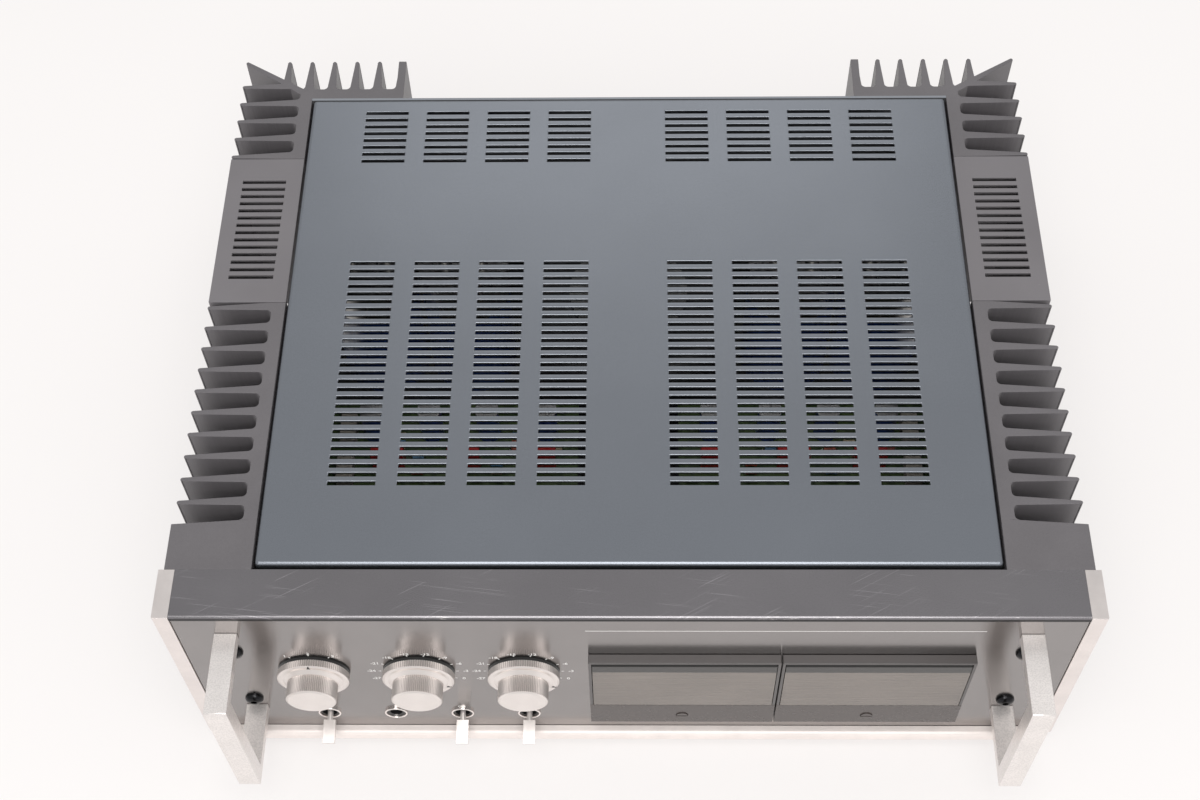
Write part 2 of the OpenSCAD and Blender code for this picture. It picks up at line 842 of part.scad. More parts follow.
// Button head with a hexagon socket, and its shank
module panel_bolt() {
    head_r = bolt_head_d / 2;
    dome_r = (head_r * head_r + bolt_head_h * bolt_head_h) / (2 * bolt_head_h);
    difference() {
        intersection() {
            cylinder(r = head_r, h = bolt_head_h);
            translate([0, 0, bolt_head_h - dome_r]) sphere(dome_r);
        }
        translate([0, 0, bolt_head_h / 2]) {
            cylinder(d = bolt_key / cos(30), h = bolt_head_h, $fn = 6);
        }
    }
    translate([0, 0, -panel_t - sub_panel_t - bolt_d]) {
        cylinder(d = bolt_d, h = panel_t + sub_panel_t + bolt_d);
    }
}

module panel_bolts() {
    color(black) place() for (x = [-handle_x, handle_x], z = bolt_z) {
        at(x, z) forward(panel_back) panel_bolt();
    }
}

// Knobs

// Outline of a fine straight knurl
function knurl(r, n) = [
    for (i = [0 : 2 * n - 1])
        (r - (i % 2) * groove_depth) * [cos(i * 180 / n), sin(i * 180 / n)]
];

module knob(i) {
    skirt_r = skirt_d / 2;
    grip_r = grip_d / 2;
    skirt_in = skirt_r - groove_depth - knob_land;
    grip_in = grip_r - groove_depth - knob_land;
    color(silver) place() at(knob_xs[i], knob_z) forward(-skirt_gap) difference() {
        union() {
            linear_extrude(skirt_t - knob_bevel) polygon(knurl(skirt_r, skirt_grooves));
            translate([0, 0, skirt_t - knob_bevel]) {
                cylinder(r1 = skirt_in, r2 = skirt_in - knob_bevel, h = knob_bevel);
            }
            translate([0, 0, skirt_t]) {
                cylinder(r1 = hub_d / 2, r2 = grip_r + hub_land, h = hub_h);
            }
            linear_extrude(skirt_t + grip_l - knob_bevel) polygon(knurl(grip_r, grip_grooves));
            translate([0, 0, skirt_t + grip_l - knob_bevel]) {
                cylinder(r1 = grip_in, r2 = grip_in - knob_bevel, h = knob_bevel);
            }
        }
        translate([0, 0, -over]) {
            cylinder(r = shaft_r, h = skirt_t + grip_l - knob_cap_t + over);
        }
    }
}

module input_knob() {
    knob(0);
}

module left_level_knob() {
    knob(1);
}

module right_level_knob() {
    knob(2);
}

module shaft(i) {
    start = knob_front + knob_cap_t;
    color(steel) place() at(knob_xs[i], knob_z) {
        rod_y(shaft_r, start, sub_rear + control_l / 2 - start);
    }
}

module input_shaft() {
    shaft(0);
}

module left_level_shaft() {
    shaft(1);
}

module right_level_shaft() {
    shaft(2);
}

// Dark felt rings on the panel behind the knobs
module knob_felts() {
    color(black) place() for (x = knob_xs) at(x, knob_z) difference() {
        rod_y(skirt_d / 2 - felt_inset, panel_back - felt_t, felt_t);
        rod_y(nut_hole_r, panel_back - felt_t - over, felt_t + 2 * over);
    }
}

// Selector switch and two level controls behind the knobs
module rotary_controls() {
    bush_front = panel_back + bush_sunk;
    color(steel) place() for (x = knob_xs) at(x, knob_z) difference() {
        union() {
            rod_y(control_d / 2, sub_rear, control_l);
            rod_y(control_bush_r, bush_front, sub_rear - bush_front + over);
        }
        rod_y(shaft_r + running_gap, bush_front - over,
              sub_rear + control_l / 2 + shaft_end_gap - bush_front + over);
    }
}

module control_nuts() {
    color(steel) place() for (x = knob_xs) at(x, knob_z) forward(panel_rear) difference() {
        cylinder(r = nut_r, h = nut_t, $fn = 6);
        translate([0, 0, -over]) cylinder(r = control_bush_r + running_gap, h = nut_t + 2 * over);
    }
}

// Toggles and socket

module toggle_switches() {
    bush_front = panel_back - bush_proud;
    seat_end = pivot_y + ball_r + ball_gap;
    color(black) place() for (x = toggle_xs) at(x, toggle_z) difference() {
        union() {
            box(-switch_w / 2, sub_rear, -switch_w / 2, switch_w, switch_l, switch_w);
            rod_y(bush_r, bush_front, sub_rear - bush_front + over);
        }
        rod_y(bush_bore / 2, bush_front - over, seat_end - bush_front + over);
        translate([-switch_w, pivot_y, 0]) rotate([0, 90, 0]) {
            cylinder(r = pin_d / 2 + running_gap, h = 2 * switch_w);
        }
    }
}

module bezel_rings() {
    ring_r = ring_d / 2;
    bead = (ring_r - bush_r) / 2;
    color(silver) place() for (x = row_xs) at(x, toggle_z) forward(panel_back) rotate_extrude() {
        translate([bush_r, 0]) square([ring_r - bush_r, panel_back + ring_proud - bead]);
        translate([bush_r + bead, panel_back + ring_proud - bead]) circle(bead - bead_land);
    }
}

// Lever with its ball and cross pin at the pivot, thrown down
module lever(i) {
    tip_taper = 0.4;
    pin_inset = 0.3;
    pin_l = switch_w - 2 * pin_inset;
    color(silver) place() translate([toggle_xs[i], pivot_y, toggle_z]) {
        translate([-pin_l / 2, 0, 0]) rotate([0, 90, 0]) cylinder(d = pin_d, h = pin_l);
        rotate([toggle_throw / 2, 0, 0]) forward(0) {
            sphere(ball_r);
            cylinder(d = neck_d, h = neck_l + over);
            translate([0, 0, neck_l]) rotate([90, 0, 90]) {
                translate([0, 0, -paddle_w / 2]) linear_extrude(paddle_w) {
                    polygon([[-paddle_t / 2, 0], [paddle_t / 2, 0],
                             [paddle_t / 2 - tip_taper, paddle_l],
                             [tip_taper - paddle_t / 2, paddle_l]]);
                }
            }
        }
    }
}

module power_lever() {
    lever(0);
}

module speaker_a_lever() {
    lever(1);
}

module speaker_b_lever() {
    lever(2);
}

module phones_jack() {
    mouth_y = panel_back - bush_proud;
    back_t = 3;
    color(black) place() at(jack_x, toggle_z) difference() {
        union() {
            box(-switch_w / 2, sub_rear, -switch_w / 2, switch_w, mouth_y + jack_l + back_t - sub_rear,
                switch_w);
            rod_y(bush_r, mouth_y, sub_rear - mouth_y + over);
        }
        rod_y(jack_bore / 2, mouth_y - over, jack_l + over);
    }
}

// Meters

module meter_cases() {
    body_w = meter_w - 2 * meter_lip;
    body_h = meter_h - 2 * meter_lip;
    hole_w = meter_w - 2 * window_edge;
    color(black) place() for (x = meter_xs) at(x, meter_z) difference() {
        union() {
            box(-meter_w / 2, meter_front, 0, meter_w, panel_back - meter_front, meter_h);
            box(-body_w / 2, panel_back - over, meter_lip, body_w, meter_depth + over, body_h);
        }
        box(meter_wall - body_w / 2, window_back - over, meter_lip + meter_wall,
            body_w - 2 * meter_wall, movement_rear - window_back + over, body_h - 2 * meter_wall);
        box(-hole_w / 2, meter_front - over, apron_h - over, hole_w, window_t + over,
            meter_h - window_edge - apron_h + over);
        box(-meter_w / 2 - over, meter_front - over, -over, meter_w + 2 * over, window_t + over,
            apron_h + over);
    }
}

module meter_windows() {
    w = meter_w - 2 * window_edge - 2 * seam;
    h = meter_h - window_edge - apron_h - seam;
    color([0.75, 0.78, 0.78, 0.35]) place() for (x = meter_xs) at(x, meter_z + apron_h) {
        along_x(-w / 2, w) {
            polygon([[meter_front, 0], [window_back, 0], [window_back, h],
                     [meter_front + window_bevel, h], [meter_front, h - window_bevel]]);
        }
    }
}

module meter_aprons() {
    color([0.25, 0.24, 0.24]) place() for (x = meter_xs) at(x, meter_z) difference() {
        box(-meter_w / 2, meter_front, 0, meter_w, window_t, apron_h);
        at(0, zero_up) rod_y(zero_d / 2 + running_gap, meter_front - over, window_t + 2 * over);
    }
}

module meter_scales() {
    w = meter_w - 2 * meter_lip - 2 * meter_wall - 2 * seam;
    h = meter_h - 2 * meter_lip - 2 * meter_wall - 2 * seam;
    color([0.12, 0.11, 0.11]) place() for (x = meter_xs) at(x, meter_z) difference() {
        box(-w / 2, scale_y, meter_lip + meter_wall + seam, w, scale_t, h);
        at(0, needle_up) rod_y(pivot_r + hole_gap, scale_y - over, scale_t + 2 * over);
    }
}

// Magnet and coil housing behind the scale, with the needle's bearing
module meter_movements() {
    housing_r = min(housing_d / 2, needle_up - meter_lip - meter_wall - seam);
    color(steel) place() for (x = meter_xs) at(x, meter_z + needle_up) difference() {
        rod_y(housing_r, movement_y, movement_rear - movement_y);
        rod_y(pivot_r + running_gap, movement_y - over, pivot_l + pivot_end_gap + over);
    }
}

// Needle on its hub and pivot pin, resting at the left end of its swing
module needle(i) {
    hub_r = 3.4;
    tail = 8;
    root_w = 1.4;
    tip_w = 0.5;
    color([0.85, 0.84, 0.80]) place() at(meter_xs[i], meter_z + needle_up) {
        rod_y(hub_r, needle_y - needle_hub_proud, needle_t + 2 * needle_hub_proud);
        rod_y(pivot_r, needle_y, movement_y + pivot_l - needle_y);
        rotate([0, -needle_swing / 2, 0]) along_y(needle_y, needle_t) {
            polygon([[-root_w / 2, -tail], [root_w / 2, -tail], [tip_w / 2, needle_l],
                     [-tip_w / 2, needle_l]]);
        }
    }
}

module left_needle() {
    needle(0);
}

module right_needle() {
    needle(1);
}

// Slotted screw in the strip under a window
module zero_screw(i) {
    proud = 0.5;
    slot_d = 0.9;
    color(black) place() at(meter_xs[i], meter_z + zero_up) difference() {
        rod_y(zero_d / 2, meter_front - proud, window_t + proud);
        box(-zero_d, meter_front - proud - over, -slot_d / 2, 2 * zero_d, over + slot_d, slot_d);
    }
}

module left_zero_screw() {
    zero_screw(0);
}

module right_zero_screw() {
    zero_screw(1);
}

// Power supply and boards

module transformer() {
    hole_r = core_d / 2 - core_ring;
    edge = 12;
    color([0.72, 0.60, 0.22]) place() translate([0, core_y, floor_z]) rotate_extrude() {
        translate([hole_r, edge]) square([core_d / 2 - hole_r, core_h - 2 * edge]);
        translate([hole_r + edge, 0]) square([core_d / 2 - hole_r - 2 * edge, core_h]);
        for (r = [hole_r + edge, core_d / 2 - edge], z = [edge, core_h - edge]) {
            translate([r, z]) circle(edge);
        }
    }
}

module transformer_clamp() {
    disc_r = 34;
    disc_t = 2;
    bolt_r = 4;
    head_t = 6;
    color(steel) place() translate([0, core_y, floor_z]) {
        translate([0, 0, core_h]) cylinder(r = disc_r, h = disc_t);
        cylinder(r = bolt_r, h = core_h + disc_t / 2);
        translate([0, 0, core_h + disc_t]) cylinder(r = 2 * bolt_r, h = head_t, $fn = 6);
    }
}

module reservoir_capacitors() {
    post = [4, 5];
    color([0.15, 0.22, 0.42]) place() both_sides() for (x = can_xs) {
        translate([x, core_y, floor_z]) {
            cylinder(d = can_d, h = can_h);
            for (s = [-1, 1]) translate([s * can_d / 5, 0, can_h]) cylinder(r = post[0], h = post[1]);
        }
    }
}

module amp_boards() {
    color(board_green) place() both_sides() {
        box(board_x, board_y, board_z, board_w, board_d, board_t);
    }
}

module board_spacers() {
    inset = 6;
    spacer_r = 3;
    color(steel) place() both_sides() {
        for (x = [board_x + inset, board_x + board_w - inset]) {
            for (y = [board_y + inset, board_y + board_d - inset]) {
                translate([x, y, floor_z]) cylinder(r = spacer_r, h = board_up);
            }
        }
    }
}

// Puts a component on top of an amplifier board
module on_board(corner) {
    translate([board_x + corner[0], board_y + corner[1], board_top]) children();
}

module film_capacitors() {
    color([0.70, 0.10, 0.08]) place() both_sides() for (col = [0 : film_cols - 1], row = [0, 1]) {
        on_board(film_start + [col * film_pitch, row * board_rows]) cube(film_size);
    }
}

module small_capacitors() {
    color([0.12, 0.25, 0.62]) place() both_sides() for (col = [0 : small_cols - 1], row = [0, 1]) {
        on_board(small_start + [col * small_pitch, row * board_rows]) {
            cylinder(d = small_size[0], h = small_size[1]);
        }
    }
}

module cement_resistors() {
    color([0.86, 0.84, 0.76]) place() both_sides() for (i = [0 : cement_count - 1]) {
        on_board(cement_start + [0, i * cement_pitch]) cube(cement_size);
    }
}

// Metal can transistors on the side plates, with their two oval flange ears
module power_transistors() {
    flange_t = 1.6;
    flange_d = 25;
    ear_x = 15;
    ear_d = 8;
    color(steel) place() both_sides() for (i = [0 : transistor_count - 1]) {
        translate([sink_x - sheet_t, board_y + transistor_start + i * transistor_pitch,
                   board_top + transistor_up]) {
            rotate([0, -90, 0]) {
                cylinder(d = flange_d, h = flange_t);
                cylinder(d = transistor_can_d, h = transistor_can_h);
                for (s = [-1, 1]) translate([s * ear_x, 0, 0]) cylinder(d = ear_d, h = flange_t);
            }
        }
    }
}

module rectifiers() {
    color(black) place() both_sides() {
        translate([board_x + board_w / 2, board_y + board_d / 3, floor_z]) cube(rectifier_size);
    }
}

// Upright board on the tails of the speaker sockets
module relay_board() {
    left = speaker_xs[0] - board_margin[0];
    right = speaker_xs[1] + socket_pitch + board_margin[0];
    color(board_green) place() {
        box(left, relay_board_y, socket_zs[0] - board_margin[1], right - left, board_t,
            socket_row + 2 * board_margin[1]);
    }
}

module relays() {
    color([0.80, 0.62, 0.14]) place() for (i = [0, 1]) {
        translate([speaker_xs[0] + i * relay_pitch, relay_board_y - relay_size[1],
                   socket_zs[0] + relay_up]) cube(relay_size);
    }
}

// Rear connections

// Recess outline with its two cut upper corners, grown by the given margin
module inlet_outline(grow) {
    w = inlet_w / 2 + grow;
    h = inlet_h / 2 + grow;
    polygon([[-w, -h], [w, -h], [w, h - inlet_cut], [w - inlet_cut, h], [inlet_cut - w, h],
             [-w, h - inlet_cut]]);
}

module mains_inlet() {
    rim = 3;
    pin_l = inlet_l - inlet_pin_back;
    color(black) place() at(inlet_x, inlet_z) {
        difference() {
            union() {
                along_y(rear_y, inlet_flange) inlet_outline(inlet_wall + rim);
                along_y(rear_y - inlet_depth, inlet_depth + over) inlet_outline(inlet_wall);
            }
            along_y(rear_y + inlet_flange - inlet_l, inlet_l + over) inlet_outline(0);
        }
        for (p = inlet_pins) {
            at(p[0], p[1]) along_y(rear_y + inlet_flange - inlet_l - over, pin_l + over) {
                square(inlet_pin, center = true);
            }
        }
    }
}

module fuse_holder() {
    color(black) place() at(inlet_x, fuse_z) difference() {
        union() {
            rod_y(fuse_r, rear_y - fuse_depth, fuse_depth + over);
            rod_y(fuse_r + fuse_flange, rear_y, fuse_flange);
        }
        rod_y(fuse_cap_r + running_gap, rear_y - fuse_depth + fuse_end_t, 2 * fuse_depth);
    }
}

// Bayonet cap with a screwdriver slot
module fuse_cap() {
    proud = 5;
    slot_d = 1.4;
    color(black) place() at(inlet_x, fuse_z) difference() {
        union() {
            rod_y(fuse_cap_r, rear_y - fuse_cap_l, fuse_cap_l + proud);
            rod_y(fuse_cap_r + fuse_cap_rim, rear_y + fuse_flange + seam, proud - fuse_flange - seam);
        }
        box(-2 * fuse_r, rear_y + proud - slot_d, -slot_d / 2, 4 * fuse_r, slot_d + over, slot_d);
    }
}

module signal_sockets() {
    flange_t = 2;
    nut_side_l = 14;
    color(silver) place() for (x = signal_xs, z = socket_zs) at(x, z) difference() {
        union() {
            rod_y(signal_d / 2, rear_y, flange_t + signal_l);
            rod_y(signal_body_r + signal_rim, rear_y, flange_t);
            rod_y(signal_body_r, rear_y - nut_side_l, nut_side_l + over);
        }
        rod_y(signal_pin_r, rear_y + flange_t, signal_l + over);
    }
}

module speaker_socket() {
    tail = socket_tail - board_t;
    difference() {
        union() {
            rod_y(speaker_body_r + speaker_rim, rear_y, speaker_collar);
            rod_y(speaker_body_r, rear_y - tail, tail + over);
        }
        rod_y(speaker_bore / 2, rear_y + speaker_collar - speaker_l, speaker_l + over);
    }
}

module speaker_sockets_red() {
    color([0.72, 0.08, 0.06]) place() for (x = speaker_xs, z = socket_zs) {
        at(x, z) speaker_socket();
    }
}

module speaker_sockets_black() {
    color(black) place() for (x = speaker_xs, z = socket_zs) {
        at(x + socket_pitch, z) speaker_socket();
    }
}

bottom_plate();
side_plates();
rear_panel();
top_cover();
top_rail();
bottom_rail();
side_trims();
front_panel();
sub_panel();
handle_left();
handle_right();
panel_bolts();
front_heatsink_left();
front_heatsink_right();
rear_heatsink_left();
rear_heatsink_right();
side_vents();
feet();
input_knob();
left_level_knob();
right_level_knob();
input_shaft();
left_level_shaft();
right_level_shaft();
knob_felts();
rotary_controls();
control_nuts();
toggle_switches();
bezel_rings();
power_lever();
speaker_a_lever();
speaker_b_lever();
phones_jack();
meter_cases();
meter_windows();
meter_aprons();
meter_scales();
meter_movements();
left_needle();
right_needle();
left_zero_screw();
right_zero_screw();
transformer();
transformer_clamp();
reservoir_capacitors();
amp_boards();
board_spacers();
film_capacitors();
small_capacitors();
cement_resistors();
power_transistors();
rectifiers();
relay_board();
relays();
mains_inlet();
fuse_holder();
fuse_cap();
signal_sockets();
speaker_sockets_red();
speaker_sockets_black();
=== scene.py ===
"""Dresses a stereo power amplifier: finishes, cover, printed marks, small hardware, light and camera."""

import json
import logging
import math
import random
from dataclasses import dataclass, field
from enum import Enum
from functools import lru_cache
from typing import Iterable, Sequence, Union

import bmesh
import bpy
from mathutils import Matrix, Vector


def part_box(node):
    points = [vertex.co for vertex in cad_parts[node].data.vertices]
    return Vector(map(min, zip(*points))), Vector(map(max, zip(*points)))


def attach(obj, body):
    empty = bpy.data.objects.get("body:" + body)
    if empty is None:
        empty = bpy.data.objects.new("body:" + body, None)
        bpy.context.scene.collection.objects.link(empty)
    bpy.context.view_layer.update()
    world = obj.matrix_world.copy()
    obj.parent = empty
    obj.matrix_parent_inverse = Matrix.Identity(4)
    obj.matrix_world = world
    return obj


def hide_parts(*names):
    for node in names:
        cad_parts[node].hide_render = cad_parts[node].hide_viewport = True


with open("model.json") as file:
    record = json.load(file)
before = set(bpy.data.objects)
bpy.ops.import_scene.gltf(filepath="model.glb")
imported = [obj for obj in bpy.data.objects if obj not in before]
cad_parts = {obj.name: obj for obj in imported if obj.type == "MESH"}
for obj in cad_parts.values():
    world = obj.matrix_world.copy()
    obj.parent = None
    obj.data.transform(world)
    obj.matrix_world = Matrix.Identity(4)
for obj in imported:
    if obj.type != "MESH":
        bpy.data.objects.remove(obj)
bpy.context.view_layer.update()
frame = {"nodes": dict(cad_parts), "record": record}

LOG = logging.getLogger("amplifier")
MM = 0.001
MERGE = 0.0005 * MM
CHASSIS = "chassis"
SIDES = ("left", "right")
TOGGLES = ("power", "speaker_a", "speaker_b")
# Where a level knob's scale ends, in degrees from the right.
LEVEL_END = -21.5
# The parts of noise's range that are spread over a finish's range.
WIDE = (0.3, 0.7)
NARROW = (0.35, 0.65)

Colour = tuple[float, float, float]
Point = tuple[float, float, float]
Pair = tuple[float, float]
Socket = bpy.types.NodeSocket
Mesh = bmesh.types.BMesh
Vert = bmesh.types.BMVert
Grid = dict[tuple[int, int], Vert]
Piece = bpy.types.Object
Value = Union[float, Sequence[float], Socket]


def scaled(colour: Colour, factor: float) -> Colour:
    """Makes a colour lighter or darker by a factor."""
    return tuple(min(1.0, channel * factor) for channel in colour)


class Along(Enum):
    """The direction that a finish's lines run in, as an axis of the part."""

    X = 0
    Y = 1
    Z = 2

    def stretched(self, short: float, long: float) -> Point:
        """Gives sizes that are long in this direction and short across it."""
        return tuple(long if i == self.value else short for i in range(3))


class Graph:
    """Builds the node tree of a material or a world."""

    def __init__(self, owner: bpy.types.ID) -> None:
        """Starts an empty tree.

        Args:
            owner: The material or the world that gets the tree.
        """
        owner.use_nodes = True
        self.tree = owner.node_tree
        self.tree.nodes.clear()

    def feed(self, socket: Socket, value: Value) -> None:
        """Links a socket to another or sets its constant.

        Args:
            socket: The input to feed.
            value: An output to link, or a constant. A colour may have three channels.
        """
        if isinstance(value, Socket):
            self.tree.links.new(value, socket)
        elif socket.type == "RGBA" and len(value) == 3:
            socket.default_value = (*value, 1.0)
        else:
            socket.default_value = value

    def add(self, kind: str, inputs: dict[str | int, Value] | None = None, **settings: str) -> bpy.types.Node:
        """Adds a node.

        Args:
            kind: The node's type without its ShaderNode prefix.
            inputs: What its inputs get, by name or number.
            **settings: Properties of the node.

        Returns:
            The node.
        """
        node = self.tree.nodes.new("ShaderNode" + kind)
        for key, value in settings.items():
            setattr(node, key, value)
        for key, value in (inputs or {}).items():
            self.feed(node.inputs[key], value)
        return node

    def place(self, size: Point = (1, 1, 1), origin: Point = (0, 0, 0), turn: float = 0.0) -> Socket:
        """Gives the place on the part, in lengths of the given size.

        Args:
            size: The length of one step along each axis, in metres.
            origin: The point that becomes zero, in metres.
            turn: The angle that the axes are turned by about Z first, in radians.

        Returns:
            A vector output.
        """
        spot = self.add("TexCoord").outputs["Object"]
        moved = self.add("VectorMath", {0: spot, 1: origin}, operation="SUBTRACT").outputs[0]
        if turn:
            moved = self.add("VectorRotate", {"Vector": moved, "Rotation": (0, 0, turn)},
                             rotation_type="EULER_XYZ").outputs[0]
        return self.add("VectorMath", {0: moved, 1: size}, operation="DIVIDE").outputs[0]

    def axis(self, along: Along, spot: Socket | None = None) -> Socket:
        """Picks one coordinate of a vector, or else of the place on the part."""
        vector = self.place() if spot is None else spot
        return self.add("SeparateXYZ", {0: vector}).outputs[along.value]

    def noise(self, spot: Socket, detail: float = 2.0, rough: float = 0.5) -> Socket:
        """Gives smooth noise, about one blob to each step of the place."""
        inputs = {"Vector": spot, "Scale": 1.0, "Detail": detail, "Roughness": rough}
        return self.add("TexNoise", inputs).outputs[0]

    def grain(self, size: float | Point, detail: float = 2.0, rough: float = 0.5) -> Socket:
        """Gives noise that is fixed to the part, with blobs of a size in millimetres."""
        sizes = size if isinstance(size, tuple) else (size,) * 3
        return self.noise(self.place(tuple(length * MM for length in sizes)), detail, rough)

    def math(self, operation: str, first: Value, second: Value = 0.0) -> Socket:
        """Works out one sum of two values."""
        return self.add("Math", {0: first, 1: second}, operation=operation).outputs[0]

    def blend(self, first: Socket, second: Socket, share: float) -> Socket:
        """Adds up a share of one value and the rest of another."""
        parts = [self.math("MULTIPLY", first, share), self.math("MULTIPLY", second, 1 - share)]
        return self.math("ADD", *parts)

    def fit(self, value: Socket, low: float, high: float, start: float = 0.0, end: float = 1.0) -> Socket:
        """Maps a value from low to high onto start to end, and stops there."""
        return self.add("MapRange", {0: value, 1: low, 2: high, 3: start, 4: end}).outputs[0]

    def mix(self, share: Value, first: Value, second: Value) -> Socket:
        """Mixes two colours."""
        return self.add("Mix", {0: share, 6: first, 7: second}, data_type="RGBA").outputs[2]

    def bump(self, height: Socket, depth: float) -> Socket:
        """Raises the surface by a height from 0 to 1 times the depth in millimetres."""
        return self.add("Bump", {"Height": height, "Distance": depth * MM, "Strength": 1.0}).outputs[0]

    def surface(self, **inputs: Value) -> None:
        """Ends the tree in a Principled surface, whose inputs are named with _ for a space."""
        shader = self.add("BsdfPrincipled", {key.replace("_", " "): value for key, value in inputs.items()})
        self.add("OutputMaterial", {"Surface": shader.outputs[0]})


@dataclass(frozen=True)
class Finish:
    """A surface finish, which makes its own material. Sizes are in millimetres and places in metres."""

    name: str
    colour: Colour
    gloss: float = 0.4
    gloss_spread: float = 0.05
    depth: float = 0.006

    def shade(self, graph: Graph) -> None:
        """Draws the finish's nodes into a graph."""
        raise NotImplementedError

    def shades(self, graph: Graph, value: Socket, dark: float, light: float, span: Pair = WIDE) -> Socket:
        """Makes the colour darker and lighter by factors, over a span of a value."""
        return graph.mix(graph.fit(value, *span), scaled(self.colour, dark), scaled(self.colour, light))

    def rough(self, graph: Graph, value: Socket) -> Socket:
        """Varies the roughness with noise."""
        return graph.fit(value, *WIDE, self.gloss - self.gloss_spread, self.gloss + self.gloss_spread)

    @lru_cache(maxsize=None)
    def material(self) -> bpy.types.Material:
        """Makes the material once and gives it out each time.

        Returns:
            The material.
        """
        material = bpy.data.materials.new(self.name)
        self.shade(Graph(material))
        return material


@dataclass(frozen=True)
class Paint(Finish):
    """Satin paint with a fine orange peel, a little cloudiness and specks of dust."""

    gloss: float = 0.42
    gloss_spread: float = 0.04
    depth: float = 0.004
    peel: float = 0.5
    cloud: float = 0.05
    cloud_size: float = 60.0
    flake: float = 0.0
    dust: float = 1.1
    dust_span: Pair = (0.76, 0.82)
    dust_share: float = 0.35
    dust_light: float = 1.8

    def base(self, graph: Graph) -> tuple[Socket, Socket]:
        """Draws the colour and the peel.

        Args:
            graph: The graph to draw into.

        Returns:
            The colour and the height of the peel.
        """
        clouds = graph.grain(self.cloud_size, 3.0)
        even = self.shades(graph, clouds, 1 - self.cloud, 1 + self.cloud, NARROW)
        specks = graph.fit(graph.grain(self.dust, 1.0), *self.dust_span, 0.0, self.dust_share)
        return graph.mix(specks, even, scaled(self.colour, self.dust_light)), graph.grain(self.peel)

    def shade(self, graph: Graph) -> None:
        """Draws the paint.

        Args:
            graph: The graph to draw into.
        """
        colour, peel = self.base(graph)
        graph.surface(Base_Color=colour, Metallic=self.flake, Roughness=self.rough(graph, peel),
                      Normal=graph.bump(peel, self.depth))


@dataclass(frozen=True)
class EdgedPaint(Paint):
    """Satin paint with another colour on an upper edge."""

    edge: Colour = (0.2, 0.2, 0.2)
    edge_z: float = 1.0
    edge_depth: float = 0.2

    def base(self, graph: Graph) -> tuple[Socket, Socket]:
        """Draws the colour with its upper edge, and the peel.

        Args:
            graph: The graph to draw into.

        Returns:
            The colour and the height of the peel.
        """
        colour, peel = super().base(graph)
        upper = graph.math("GREATER_THAN", graph.axis(Along.Z), self.edge_z - self.edge_depth * MM)
        return graph.mix(upper, colour, self.edge), peel


@dataclass(frozen=True)
class WornPaint(Paint):
    """Satin paint with long scratches, a front edge worn through to metal, and painted shade on the lip under
    that edge.
    """

    gloss_spread: float = 0.05
    metal: Colour = (0.72, 0.69, 0.68)
    front: float = 0.0
    worn: Pair = (0.25, 1.5)
    nick: Point = (5.0, 0.6, 0.6)
    nick_group: float = 70.0
    nick_span: Pair = (1.2, 1.28)
    # Painted shade on the lip under the front edge: where it starts, how soft and deep it is, how much and
    # how dark.
    lip_shade_top: float = 0.0
    lip_shade_soft: float = 0.3
    lip_shade_depth: float = 0.45
    lip_shade_share: float = 0.95
    lip_shade_dark: float = 0.1
    scratch: Point = (45.0, 0.35, 40.0)
    scratch_soft: float = 0.03
    scratch_group: float = 35.0
    scratch_span: Pair = (0.46, 0.56)
    scratch_share: float = 0.6
    scratch_light: float = 2.4
    strokes: tuple[Pair, ...] = ((0.12, 0.70), (-0.5, 0.71))

    def scratches(self, graph: Graph, turn: float, low: float) -> Socket:
        """Draws thin straight scratches in one direction.

        Args:
            graph: The graph to draw into.
            turn: Their angle to the part's width, in radians.
            low: The height of noise above which there is a scratch.

        Returns:
            A mask.
        """
        spot = graph.place(tuple(length * MM for length in self.scratch), turn=turn)
        lines = graph.fit(graph.noise(spot, 1.0), low, low + self.scratch_soft)
        groups = graph.fit(graph.grain(self.scratch_group, 1.0), *self.scratch_span)
        return graph.math("MULTIPLY", lines, groups)

    def wear(self, graph: Graph, depth: Socket) -> Socket:
        """Draws where the front edge is worn through.

        Args:
            graph: The graph to draw into.
            depth: The place on the part along Y.

        Returns:
            A mask.
        """
        edge = graph.fit(depth, *(self.front + behind * MM for behind in self.worn), 1.0, 0.0)
        nicks = graph.math("ADD", graph.grain(self.nick, 4.0, 0.7), graph.grain(self.nick_group, 1.0))
        return graph.math("MULTIPLY", edge, graph.fit(nicks, *self.nick_span))

    def lip_shade(self, graph: Graph, depth: Socket) -> Socket:
        """Draws where shade is painted on the lip under the front edge.

        Args:
            graph: The graph to draw into.
            depth: The place on the part along Y.

        Returns:
            A mask.
        """
        ahead = graph.math("LESS_THAN", depth, self.front + self.lip_shade_depth * MM)
        foot = self.lip_shade_top - self.lip_shade_soft * MM
        below = graph.fit(graph.axis(Along.Z), foot, self.lip_shade_top, self.lip_shade_share, 0.0)
        return graph.math("MULTIPLY", ahead, below)

    def shade(self, graph: Graph) -> None:
        """Draws the paint, its scratches, its worn edge and the painted shade on the lip.

        Args:
            graph: The graph to draw into.
        """
        paint, peel = self.base(graph)
        depth = graph.axis(Along.Y)
        marks = graph.math("MAXIMUM", *(self.scratches(graph, *stroke) for stroke in self.strokes))
        share = graph.math("MULTIPLY", marks, self.scratch_share)
        wear = self.wear(graph, depth)
        bare = graph.mix(wear, graph.mix(share, paint, scaled(self.colour, self.scratch_light)), self.metal)
        # Painted shade: the lip under the front edge is darkened towards a dark copy of the paint.
        colour = graph.mix(self.lip_shade(graph, depth), bare, scaled(self.colour, self.lip_shade_dark))
        height = graph.math("SUBTRACT", peel, graph.math("MAXIMUM", marks, wear))
        graph.surface(Base_Color=colour, Metallic=graph.fit(wear, 0.0, 1.0, self.flake, 1.0),
                      Roughness=self.rough(graph, peel), Normal=graph.bump(height, self.depth))


